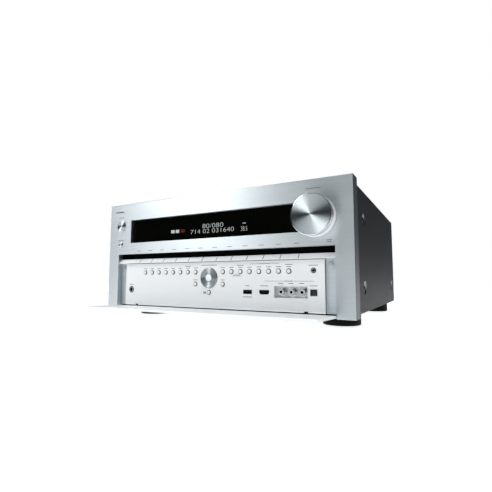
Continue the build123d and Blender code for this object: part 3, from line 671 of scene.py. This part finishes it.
def panel_print():
    """Bars by the buttons and sockets, thin rules that gather some of them, and the screen sign."""
    y = PANEL_FACE_Y
    marks = []
    for name in BUTTON_NAMES[:-1]:
        button = middle(name)
        marks.append(label(button.x / MM, (button.z - BASE_Z) / MM + 6.3, 7.5, y))
    for name in (BUTTON_NAMES[6], BUTTON_NAMES[10], BUTTON_NAMES[15]):
        button = middle(name)
        marks.append(label(button.x / MM, (button.z - BASE_Z) / MM + 9.0, 11, y))
    for (x, z), rise, wide in (
        (HEADPHONES, 8.6, 10), (MICROPHONE, 6.8, 13), (USB, 8.8, 6), (USB, -7.1, 15), (HDMI, 8.8, 12),
        (OPTICAL, 8.9, 10),
    ):
        marks.append(label(x, z + rise, wide, y))
    marks += [label(x, PHONO_Z + 11.7, 7, y) for x in PHONO_X]
    marks.append(label(middle("cursor_ring").x / MM, 70.7, 28, y))
    marks += [label(47, 54.5, 13, y), label(47, 56.3, 11, y, RULE_THICK)]
    # two headings, each with a rule reaching out to both sides
    for x, z, wide, reach in ((92, 71.2, 18, 45), (128, 47.0, 13, 72)):
        marks.append(label(x, z, wide, y))
        arm = (reach - wide) / 2 - 0.6
        marks += [label(x + side * (reach - arm) / 2, z, arm, y, RULE_THICK) for side in (-1, 1)]
    for x in (-11.6, -9.2):
        marks.append(rounded(front(x, 28.2, y - INK), front(x + 1.8, 30.6, y), 0.02 * MM, 1))
    marks.append(rule(-12.4, -6.8, 27.3, 0.5, y))
    finish(joined(marks), "panel_print", INK_GREY, "cabinet", "panel_aluminium")


# Display ----------------------------------------------------------------------------------------


def numerals(text, x_low, x_high, z, height):
    """Figures stood up on the glass between two places, millimetres on the front."""
    deselect()
    bpy.ops.object.text_add()
    line = bpy.context.object
    line.data.body = text
    line.data.extrude = 0.02
    line.data.offset = -0.02
    bpy.ops.object.convert(target="MESH")
    piece = bpy.context.object
    xs = [v.co.x for v in piece.data.vertices]
    ys = [v.co.y for v in piece.data.vertices]
    wide = (x_high - x_low) * MM / (max(xs) - min(xs))
    tall = height * MM / (max(ys) - min(ys))
    upright = Matrix.Rotation(math.pi / 2, 4, "X")
    size = Matrix.Diagonal((wide, tall, 2 * MM, 1))
    start = Matrix.Translation((-min(xs), -min(ys), 0))
    place = Matrix.Translation(front(x_low, z - height / 2, GLASS_Y - INK))
    piece.data.transform(place @ upright @ size @ start)
    return piece


def display():
    """Plain lit figures, two blocks and two red bars, and no sign or word."""
    figures = [
        numerals("80/080", -15.6, 22.8, 132.0, 6.6),
        numerals("714 02 031640", -38.4, 41.7, 124.0, 6.6),
        numerals("38.5", 53.5, 64.2, 123.4, 6.6),
    ]
    for x in (-78.5, -69.0):
        low, high = front(x, 124.5, GLASS_Y - INK), front(x + 7.0, 129.5, GLASS_Y)
        figures.append(rounded(low, high, 0.3 * MM, 1))
    figures.append(rule(56.5, 62.0, 131.4, 1.0, GLASS_Y))
    finish(joined(figures), "display_figures", GLOW, "cabinet", "dark_glass")
    bars = [rule(-58.5, -50.5, z, 1.1, GLASS_Y) for z in (125.5, 128.5)]
    finish(joined(bars), "display_red_bars", GLOW_RED, "cabinet", "dark_glass")


# Front sockets ------------------------------------------------------------------------------------


def front_jack_rings():
    rings = []
    for x, z, bore, ring in ((-164.8, 31.8, 3.25, 5.4), (163.1, 61.1, 1.85, 3.5)):
        y = PANEL_FACE_Y - 0.6 * MM
        rings.append(turned(x * MM, BASE_Z + z * MM, (
            (bore * MM, y + 0.9 * MM),
            (bore * MM, y + 0.1 * MM),
            ((bore + 0.25) * MM, y - 0.12 * MM),
            ((bore + 1.0) * MM, y - 0.12 * MM),
            ((bore + 1.2) * MM, y + 0.15 * MM),
        ), 48))
    finish(joined(rings), "jack_ferrules", NICKEL, "cabinet", "socket_metal")


def front_plug_parts():
    """Tongues and contacts inside the USB and HDMI openings, and the optical socket's shutter."""
    y = PANEL_FACE_Y
    usb = rounded(front(59.6, 31.7, y + 1.2 * MM), front(71.0, 33.6, y + 9.0 * MM), 0.15 * MM)
    hdmi = rounded(front(86.6, 31.0, y + 1.4 * MM), front(96.8, 32.4, y + 9.0 * MM), 0.15 * MM)
    finish(joined([usb, hdmi]), "front_socket_tongues", TONGUE, "cabinet", "black_plastic")
    contacts = []
    for index in range(4):
        x = 61.0 + 2.3 * index
        low, high = front(x, 31.5, y + 1.6 * MM), front(x + 1.1, 31.72, y + 8.5 * MM)
        contacts.append(rounded(low, high, 0.04 * MM, 1))
    for index in range(9):
        x = 87.2 + 1.04 * index
        low, high = front(x, 30.85, y + 1.7 * MM), front(x + 0.5, 31.02, y + 8.5 * MM)
        contacts.append(rounded(low, high, 0.03 * MM, 1))
    finish(joined(contacts), "front_socket_contacts", DULL_GOLD, "cabinet", "socket_metal")
    x, z = 163.2, 32.1
    bezel = sleeve(front(x - 4.9, z - 4.5, y - 0.1 * MM), front(x + 4.9, z + 4.5, y + 0.9 * MM), 1.1 * MM,
                   0.7 * MM, 0.15 * MM)
    door = rounded(front(x - 3.9, z - 3.4, y + 0.55 * MM), front(x + 3.9, z + 3.4, y + 0.9 * MM), 0.3 * MM)
    finish(joined([bezel, door]), "optical_shutter", BLACK, "cabinet", "black_plastic")


def front_phono_inserts():
    """White insulators with a dark pin hole, inside the barrels of the three front sockets."""
    inserts, holes = [], []
    floor = PANEL_FACE_Y + 9.0 * MM
    for x in PHONO_X:
        z = BASE_Z + PHONO_Z * MM
        inserts.append(turned(x * MM, z, (
            (2.2 * MM, floor - 7.6 * MM),
            (2.2 * MM, floor - 8.2 * MM),
            (2.35 * MM, floor - 8.32 * MM),
            (2.9 * MM, floor - 8.32 * MM),
            (3.0 * MM, floor - 8.15 * MM),
        ), 32))
        holes.append(turned(x * MM, z, (
            (0, floor - 7.4 * MM),
            (1.5 * MM, floor - 7.4 * MM),
            (2.22 * MM, floor - 8.1 * MM),
        ), 32))
    finish(joined(inserts), "front_phono_inserts", WHITE_NYLON, "cabinet", "black_plastic")
    finish(joined(holes), "front_phono_pin_holes", MATT_BLACK, "cabinet", "black_plastic")


def catch_faces():
    """Dark outline and slot of the two flap catches beside the panel."""
    slots = []
    for node_x in (-185.6, 185.6):
        centre = front(node_x, 69.6, FRONT_Y + 7.55 * MM)
        slots.append(turned(centre.x, centre.z, (
            (2.1 * MM, centre.y + 0.25 * MM),
            (2.1 * MM, centre.y),
            (2.5 * MM, centre.y - 0.02 * MM),
            (2.5 * MM, centre.y + 0.25 * MM),
        ), 40))
    finish(joined(slots), "catch_rings", BLACK, "cabinet", "black_plastic")


def key_indicators():
    """Dark inlay in the groove down the slope of each input key."""
    for name in KEY_NAMES:
        centre = middle(name)
        low = Vector((centre.x - 0.4 * MM, FRONT_Y + 0.85 * MM, BASE_Z + 77.25 * MM))
        inlay = rounded(low, low + Vector((0.8 * MM, 0.3 * MM, 8.2 * MM)), 0.05 * MM, 1)
        inlay.data.transform(about(low, math.radians(-40.6), "X"))
        finish(inlay, f"{name}_inlay", MATT_BLACK, name, "black_plastic")


def gap_shade_round_buttons():
    """Black rings of painted shade: one on the panel in the gap round each small button, and one on the edge
    round the button's face, where the gap's shade falls.
    """
    shade_rings = []
    for name in BUTTON_NAMES:
        centre = middle(name)
        y = PANEL_FACE_Y
        face_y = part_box(name)[0].y
        # painted shade: a black ring on the button's chamfer, carried with the button
        line = turned(centre.x, centre.z, (
            (2.66 * MM, face_y + 0.06 * MM), (2.74 * MM, face_y + 0.01 * MM), (3.22 * MM, face_y + 0.38 * MM),
            (3.22 * MM, y - 0.1 * MM),
        ), 32)
        finish(line, f"{name}_line", MATT_BLACK, name, "black_plastic")
        # painted shade: a black ring on the panel in the gap round the button
        shade_rings.append(turned(centre.x, centre.z, (
            (3.34 * MM, y + 0.5 * MM), (3.34 * MM, y - 0.02 * MM), (3.4 * MM, y - 0.06 * MM),
            (3.72 * MM, y - 0.06 * MM), (3.75 * MM, y + 0.05 * MM),
        ), 32))
    finish(joined(shade_rings), "button_gap_shade", MATT_BLACK, "cabinet", "black_plastic")


# Cover screws, feet -----------------------------------------------------------------------------------


def dished_screw():
    """Dished washer, and a domed head with a cross recess, made facing the front at the origin."""
    washer = turned(0, 0, (
        (9.85 * MM, 0.6 * MM),
        (9.85 * MM, 0.02 * MM),
        (9.4 * MM, 0),
        (9.0 * MM, 0.12 * MM),
        (7.2 * MM, 0.85 * MM),
        (5.0 * MM, 1.8 * MM),
        (4.3 * MM, 1.95 * MM),
        (0, 1.95 * MM),
    ), 64)
    head = turned(0, 0, (
        (0, 0.25 * MM),
        (1.4 * MM, 0.34 * MM),
        (2.8 * MM, 0.7 * MM),
        (3.7 * MM, 1.25 * MM),
        (3.9 * MM, 1.95 * MM),
        (0, 1.95 * MM),
    ), 48)
    for angle in (0, math.pi / 2):
        cutter = rounded((-2.1 * MM, -1 * MM, -0.38 * MM), (2.1 * MM, 1.2 * MM, 0.38 * MM), 0.1 * MM, 1)
        cutter.data.transform(Matrix.Rotation(angle, 4, "Y"))
        deselect()
        head.select_set(True)
        bpy.context.view_layer.objects.active = head
        cut = head.modifiers.new("cross", "BOOLEAN")
        cut.operation = "DIFFERENCE"
        cut.object = cutter
        bpy.ops.object.modifier_apply(modifier="cross")
        bpy.data.objects.remove(cutter)
    return washer, head


def cover_screws():
    washer, head = dished_screw()
    places = []
    low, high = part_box("cover_screws")
    y_front = low.y + 10 * MM
    y_back = high.y - 10 * MM
    for y, z in ((y_front, high.z - 10 * MM), (y_front, low.z + 10 * MM), (y_back, low.z + 10 * MM)):
        for side in (-1, 1):
            lean = Matrix.Rotation(math.radians(luck.uniform(-40, 40)), 4, "Y")
            turn = Matrix.Rotation(side * math.pi / 2, 4, "Z")
            places.append((Matrix.Translation((side * SIDE_X, y, z)) @ turn, lean))
    washers = [copied(washer, place) for place, lean in places]
    heads = [copied(head, place @ lean) for place, lean in places]
    bpy.data.objects.remove(washer)
    bpy.data.objects.remove(head)
    finish(joined(washers), "cover_screw_washers", WASHER_STEEL, "cabinet", "screw_chrome", "cover_screws")
    finish(joined(heads), "cover_screw_heads", BLACKENED, "cabinet", "screw_chrome")


def foot_pads():
    """Soft ring in the recess under each foot."""
    pads = []
    low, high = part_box("feet")
    reach = 27 * MM
    for x in (low.x + reach, high.x - reach):
        for y in (low.y + reach, high.y - reach):
            deselect()
            bpy.ops.mesh.primitive_circle_add(vertices=64, radius=17 * MM, fill_type="NGON",
                                              location=(x, y, 0.3 * MM))
            edit()
            bpy.ops.mesh.inset(thickness=8 * MM)
            bpy.ops.mesh.extrude_region_move(TRANSFORM_OT_translate={"value": (0, 0, 0.7 * MM)})
            bpy.ops.mesh.select_all(action="SELECT")
            bpy.ops.mesh.normals_make_consistent(inside=False)
            leave()
            pads.append(settle())
    finish(joined(pads), "foot_pads", RUBBER, "cabinet", "black_plastic")


# Rear ----------------------------------------------------------------------------------------------


def binding_post():
    """Base, metal stem and ribbed cap of one speaker terminal, made facing the rear at the origin."""
    y = REAR_Y
    base = turned(0, 0, outward(y, (
        (0, 0.05), (8.6, 0.05), (8.6, 3.0), (8.0, 4.6), (7.0, 5.0), (4.4, 5.0),
    )), 32)
    stem = turned(0, 0, outward(y, (
        (4.2, 5.0), (4.2, 11.2), (3.0, 12.4),
    )), 24)
    collar = turned(0, 0, outward(y, (
        (2.15, 20.0), (2.15, 27.9), (4.0, 27.9), (4.1, 27.2),
    )), 24)
    cap = turned(0, 0, outward(y, (
        (4.0, 12.6), (5.0, 12.9), (5.2, 14.0), (5.2, 26.0), (4.9, 27.2), (4.1, 27.4),
    )), 36)
    edit("FACE")
    bpy.ops.mesh.select_all(action="DESELECT")
    leave()
    for index, face in enumerate(sorted((f for f in cap.data.polygons if f.area > 5e-6),
                                        key=lambda f: math.atan2(f.center.z, f.center.x))):
        face.select = index % 3 == 0
    edit("FACE")
    bpy.ops.mesh.extrude_region_move(TRANSFORM_OT_translate={"value": (0, 0, 0)})
    bpy.ops.transform.resize(value=(0.9, 1, 0.9), center_override=(0, 0, 0))
    leave()
    return base, stem, collar, cap


def speaker_terminals():
    low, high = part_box("speaker_terminals")
    columns, reach = 11, 8.6 * MM
    pitch = (high.x - low.x - 2 * reach) / (columns - 1)
    xs = [low.x + reach + pitch * i for i in range(columns)]
    rows = {"red": high.z - reach, "black": low.z + reach}
    base, stem, collar, cap = binding_post()
    bases, metal = [], []
    for colour, z in rows.items():
        caps = []
        for x in xs:
            place = Vector((x, 0, z))
            bases.append(copied(base, place))
            metal += [copied(stem, place), copied(collar, place)]
            caps.append(copied(cap, place))
        finish(joined(caps), f"terminal_caps_{colour}", PLUG_COLOURS[colour], "cabinet", "black_plastic")
    finish(joined(bases), "terminal_bases", BLACK, "cabinet", "black_plastic", "speaker_terminals")
    finish(joined(metal), "terminal_stems", GOLD, "cabinet", "socket_metal")
    for piece in (base, stem, collar, cap):
        bpy.data.objects.remove(piece)


REAR_HDMI_X = [-170 + 26 * index for index in range(7)]
# each bank of phono sockets: first column's x, rows' heights, number of columns, in millimetres
PHONO_BANKS = ((-194.0, (144, 124, 104), 9), (-20.0, (124, 104), 6), (104.0, (124, 104), 6))
PHONO_PITCH = 15.5


def rear_phono_sockets():
    y = REAR_Y + 2.0 * MM
    barrel = turned(0, 0, outward(y, (
        (1.7, 7.2), (1.7, 8.2), (3.8, 8.2), (4.15, 7.9), (4.15, 1.3),
    )), 24)
    flange = turned(0, 0, outward(y, (
        (4.2, 1.5), (5.6, 1.5), (6.2, 1.0), (6.2, 0),
    )), 24)
    pin = turned(0, 0, outward(y, (
        (0, 6.6), (1.7, 7.3),
    )), 16)
    colours = {"white": [], "red": [], "yellow": [], "black": [], "green": [], "blue": []}
    order = {
        0: ("white", "white", "white", "white", "white", "black", "black", "black", "black"),
        1: ("red", "red", "red", "red", "red", "black", "black", "black", "black"),
        2: ("yellow", "yellow", "yellow", "yellow", "green", "blue", "red", "yellow", "black"),
    }
    barrels, pins, plates = [], [], []
    for bank, (x_first, rows, columns) in enumerate(PHONO_BANKS):
        low = Vector(((x_first - PHONO_PITCH / 2) * MM, REAR_Y + 0.05 * MM, (min(rows) - 8.5) * MM))
        high = Vector(((x_first + PHONO_PITCH * (columns - 0.5)) * MM, y, (max(rows) + 8.5) * MM))
        plates.append(rounded(low, high, 0.4 * MM))
        for row, z in enumerate(rows):
            for column in range(columns):
                place = Vector(((x_first + PHONO_PITCH * column) * MM, 0, z * MM))
                barrels.append(copied(barrel, place))
                pins.append(copied(pin, place))
                colour = order[row][column] if bank == 0 else ("white", "red")[row]
                colours[colour].append(copied(flange, place))
    finish(joined(plates), "phono_plates", BLACK, "cabinet", "black_plastic", "rear_sockets")
    finish(joined(barrels), "phono_barrels", GOLD, "cabinet", "socket_metal")
    finish(joined(pins), "phono_pin_holes", MATT_BLACK, "cabinet", "black_plastic")
    for colour, pieces in colours.items():
        finish(joined(pieces), f"phono_flanges_{colour}", PLUG_COLOURS[colour], "cabinet", "black_plastic")
    for piece in (barrel, flange, pin):
        bpy.data.objects.remove(piece)


def rear_small_sockets():
    """Serial socket, antenna block, network and HDMI insides, and mains pins."""
    y = REAR_Y
    shell = sleeve((96 * MM, -y - 6 * MM, 165 * MM), (128 * MM, -y - 0.05 * MM, 178 * MM), 2.6 * MM, 3.4 * MM,
                   0.6 * MM)
    shell.data.transform(Matrix.Rotation(math.pi, 4, "Z") @ Matrix.Translation((-224 * MM, 0, 0)))
    finish(shell, "serial_shell", NICKEL, "cabinet", "socket_metal")
    pins = []
    for row, count in ((0, 5), (1, 4)):
        for index in range(count):
            x = (112 + 4.4 * (index - (count - 1) / 2)) * MM
            z = (173.1 - 3.4 * row) * MM
            pins.append(turned(x, z, outward(y, ((0.75, 2.6), (0.75, 4.6), (0.4, 5.2), (0, 5.3))), 12))
    block = rounded((146 * MM, y + 0.05 * MM, 160 * MM), (190 * MM, y + 8 * MM, 180 * MM), 0.8 * MM)
    levers = [rounded((x * MM, y + 7.9 * MM, 163 * MM), ((x + 7) * MM, y + 11 * MM, 177 * MM), 0.8 * MM)
              for x in (169, 179)]
    coax = turned(158 * MM, 170 * MM, outward(y, (
        (1.2, 9), (1.2, 15.4), (1.8, 16), (4.4, 16), (4.8, 15.6), (4.8, 9.4), (6.4, 9.2), (6.4, 7.9),
    )), 40)
    finish(block, "antenna_block", BLACK, "cabinet", "black_plastic")
    finish(joined(levers), "antenna_levers", PLUG_COLOURS["white"], "cabinet", "black_plastic")
    finish(coax, "antenna_coaxial", NICKEL, "cabinet", "socket_metal")
    tongues, contacts = [], []
    for x in REAR_HDMI_X:
        low, high = ((x - 5.3) * MM, y - 10 * MM, 171.6 * MM), ((x + 5.3) * MM, y - 1.6 * MM, 173 * MM)
        tongues.append(rounded(low, high, 0.2 * MM))
        for step in range(9):
            px = x - 4.6 + 1.04 * step
            low, high = (px * MM, y - 9 * MM, 171.4 * MM), ((px + 0.5) * MM, y - 1.9 * MM, 171.62 * MM)
            contacts.append(rounded(low, high, 0.03 * MM, 1))
    for step in range(8):
        px = 56.2 + 1.02 * step
        low, high = (px * MM, y - 12 * MM, 173 * MM), ((px + 0.45) * MM, y - 3 * MM, 173.4 * MM)
        contacts.append(rounded(low, high, 0.03 * MM, 1))
    finish(joined(tongues), "rear_socket_tongues", TONGUE, "cabinet", "black_plastic")
    finish(joined(contacts), "rear_socket_contacts", GOLD, "cabinet", "socket_metal")
    inlet = middle("ac_inlet")
    blades = []
    for dx, dz in ((-7, -2), (7, -2), (0, 2)):
        x, z = inlet.x + dx * MM, inlet.z + dz * MM
        low, high = (x - 1.1 * MM, y - 15 * MM, z - 2.1 * MM), (x + 1.1 * MM, y - 1.8 * MM, z + 2.1 * MM)
        blades.append(rounded(low, high, 0.4 * MM))
    finish(joined(pins + blades), "rear_pins", NICKEL, "cabinet", "socket_metal")


def pan_screws():
    """Small cross-head screws round the rear panel."""
    washer, head = dished_screw()
    bpy.data.objects.remove(washer)
    size = Matrix.Diagonal((0.75, 1, 0.75, 1))
    out = Matrix.Rotation(math.pi, 4, "Z")
    spots = [(x, 28) for x in (-207, -120, -60, 0, 70, 140, 207)]
    spots += [(x, 184) for x in (-207, 24, 90, 140, 207)]
    spots += [(x, z) for x in (-207, 207) for z in (80, 130)]
    spots += [(x, 87.5) for x in (-120, -28, 30, 96)] + [(24, 152), (88, 146), (-44, 146)]
    screws = []
    for x, z in spots:
        lean = Matrix.Rotation(luck.uniform(0, TURN), 4, "Y")
        place = Matrix.Translation((x * MM, REAR_Y + 1.9 * MM, z * MM))
        screws.append(copied(head, place @ out @ size @ lean))
    bpy.data.objects.remove(head)
    finish(joined(screws), "rear_panel_screws", ZINC, "cabinet", "chassis_steel")


def rear_print():
    """White outlines round the groups of sockets, and plain bars where the real sheet has words."""
    lines = []

    def bar(x_low, x_high, z_low, z_high):
        lines.append(rounded((x_low * MM, REAR_Y, z_low * MM), (x_high * MM, REAR_Y + INK, z_high * MM),
                             0.02 * MM, 1))

    def outline(x_low, x_high, z_low, z_high, t=0.5):
        bar(x_low, x_high, z_low, z_low + t)
        bar(x_low, x_high, z_high - t, z_high)
        bar(x_low, x_low + t, z_low + t, z_high - t)
        bar(x_high - t, x_high, z_low + t, z_high - t)

    outline(-204, -58, 93.0, 155.0)
    outline(-31, 70, 93.0, 135.0)
    outline(93, 194, 93.0, 135.0)
    outline(-90, 198, 31, 82)
    outline(-186, 2, 159.5, 186.8)

    def caption(x_low, x_high, z, height):
        bar(x_low, x_high, z - height / 4, z + height / 4)

    for x in REAR_HDMI_X:
        caption(x - 6, x + 6, 184.4, 1.8)
    for index in range(11):
        caption(-81 + 26 * index, -71 + 26 * index, 55, 1.8)
    for x_first, rows, columns in PHONO_BANKS:
        for column in range(0, columns, 2):
            x = x_first + PHONO_PITCH * column
            caption(x - 4, x + 6, max(rows) + 9.6, 1.6)
    for x_low, x_high, z in ((52, 68, 183.4), (102, 122, 161.5), (150, 186, 157.5), (-176, -140, 66)):
        caption(x_low, x_high, z, 2.0)
    finish(joined(lines), "rear_print", INK_WHITE, "cabinet", "rear_paint")


# Paint on the CAD pieces -----------------------------------------------------------------------------


def paint(node, material):
    """Gives a CAD piece its material and leaves its mesh alone."""
    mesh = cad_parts[node].data
    if not mesh.materials:
        mesh.materials.append(material)
    for index in range(len(mesh.materials)):
        mesh.materials[index] = material


def paint_nodes():
    paint("fascia", FASCIA_METAL)
    paint("sub_panel", PANEL_METAL)
    paint("flap", FLAP_METAL)
    paint("side_trims", TRIM_METAL)
    for node in KEY_NAMES + BUTTON_NAMES:
        paint(node, SILVER)
    for node in ("power_button", "direct_button"):
        paint(node, spun_aluminium(f"spun_aluminium_{node}", middle(node)))
    ring = spun_aluminium("spun_aluminium_cursor_ring", middle("cursor_ring"), 0.44, "#bcc4c8", "#949da2")
    paint("cursor_ring", ring)
    # the enter button takes the same white base colour, a painted highlight
    paint("enter_button", PAINTED_HIGHLIGHT_WHITE)
    plain = {
        "display_window": GLASS, "top_cover": COVER, "rear_panel": REAR_PAINT, "chassis_pan": ZINC,
        "hinge_pins": NICKEL, "front_jacks": MATT_BLACK, "front_sockets": SHELLS, "front_boards": BOARD,
        "front_carrier": MATT_BLACK, "cursor_gimbal": BLACK, "feet": FOOT_BLACK, "ac_inlet": BLACK,
        "rear_data_sockets": SOCKET_STEEL, "transformer": LAMINATED, "heat_sink": FINS,
        "circuit_boards": BOARD, "reservoir_capacitors": SLEEVE, "cover_screws": CHROME,
        "rear_sockets": BLACK, "speaker_terminals": BLACK, "volume_knob": POLISHED,
    }
    for node, material in plain.items():
        paint(node, material)


# Stage ---------------------------------------------------------------------------------------------


def stage():
    """Pale floor, soft lights and the camera."""
    deselect()
    bpy.ops.mesh.primitive_circle_add(vertices=96, radius=6.0, fill_type="NGON", location=(0, 0, -0.0002))
    floor = bpy.context.object
    floor.name = "floor"
    m = blank("pale_floor")
    faint = grain(m, (3, 3, 3), 1.0)
    # lit from below where the set stands; the floor falls off to grey well in front of it
    place = add(m, "ShaderNodeTexCoord").outputs["Object"]
    ahead = add(m, "ShaderNodeVectorMath", {0: place, 1: (0.423, 0.906, 0)}, operation="DOT_PRODUCT")
    near = spread(m, ahead.outputs["Value"], 0.0, 1.0, -1.5, -0.55)
    tone = between(m, near, "#c2c4c6", between(m, faint, "#f4f4f4", "#f7f7f7"))
    surface(m, Base_Color=tone, Roughness=0.6, Emission_Color=between(m, near, "#a6a8aa", "#ffffff"),
            Emission_Strength=0.8)
    floor.data.materials.append(m)

    world = bpy.data.worlds.new("studio")
    bpy.context.scene.world = world
    world.use_nodes = True
    world.node_tree.nodes.clear()
    way = add(world, "ShaderNodeTexCoord").outputs["Generated"]
    height = add(world, "ShaderNodeSeparateXYZ", {"Vector": way}).outputs["Z"]
    upward = spread(world, height, 0.0, 1.0, 0.3, 0.75)
    fill = between(world, upward, "#1d2124", "#b4b8bc")
    room = add(world, "ShaderNodeBackground", {"Color": fill, "Strength": 1.0})
    white = add(world, "ShaderNodeBackground", {"Color": linear("#ffffff"), "Strength": 1.0})
    seen = add(world, "ShaderNodeLightPath").outputs["Is Camera Ray"]
    both = add(world, "ShaderNodeMixShader", {0: seen, 1: room.outputs[0], 2: white.outputs[0]})
    add(world, "ShaderNodeOutputWorld", {"Surface": both.outputs[0]})

    lamp("key_light", (-1.15, -1.2, 1.35), (0, -0.15, 0.1), (0.85, 0.85), 22.0)
    lamp("top_light", (0.0, 0.2, 2.0), (0, 0, 0), (2.6, 2.6), 12.0)
    lamp("rear_light", (-1.0, 2.2, 1.3), (0, 0.1, 0.1), (1.2, 0.8), 4.0)

    bpy.ops.object.camera_add(location=CAMERA_AT)
    camera = bpy.context.object
    camera.rotation_mode = "QUATERNION"
    yaw = Matrix.Rotation(math.radians(CAMERA_YAW), 3, "Z")
    pitch = Matrix.Rotation(math.radians(CAMERA_PITCH), 3, "X")
    roll = Matrix.Rotation(math.radians(CAMERA_ROLL), 3, "Z")
    camera.rotation_quaternion = (yaw @ pitch @ roll).to_quaternion()
    camera.data.lens = CAMERA_LENS
    camera.data.sensor_width = 36
    camera.data.clip_start = 0.01
    bpy.context.scene.camera = camera
    bpy.context.scene.view_settings.view_transform = "Standard"


def lamp(name, at, towards, size, power):
    """A soft rectangular light, in watts."""
    bpy.ops.object.light_add(type="AREA", location=at)
    light = bpy.context.object
    light.name = name
    light.data.shape = "RECTANGLE"
    light.data.size, light.data.size_y = size
    light.data.energy = power
    light.rotation_mode = "QUATERNION"
    light.rotation_quaternion = (Vector(towards) - Vector(at)).to_track_quat("-Z", "Y")


stage()
paint_nodes()
volume_knob()
fascia_print()
panel_print()
display()
front_jack_rings()
front_plug_parts()
front_phono_inserts()
catch_faces()
key_indicators()
gap_shade_round_buttons()
cover_screws()
foot_pads()
speaker_terminals()
rear_phono_sockets()
rear_small_sockets()
pan_screws()
rear_print()
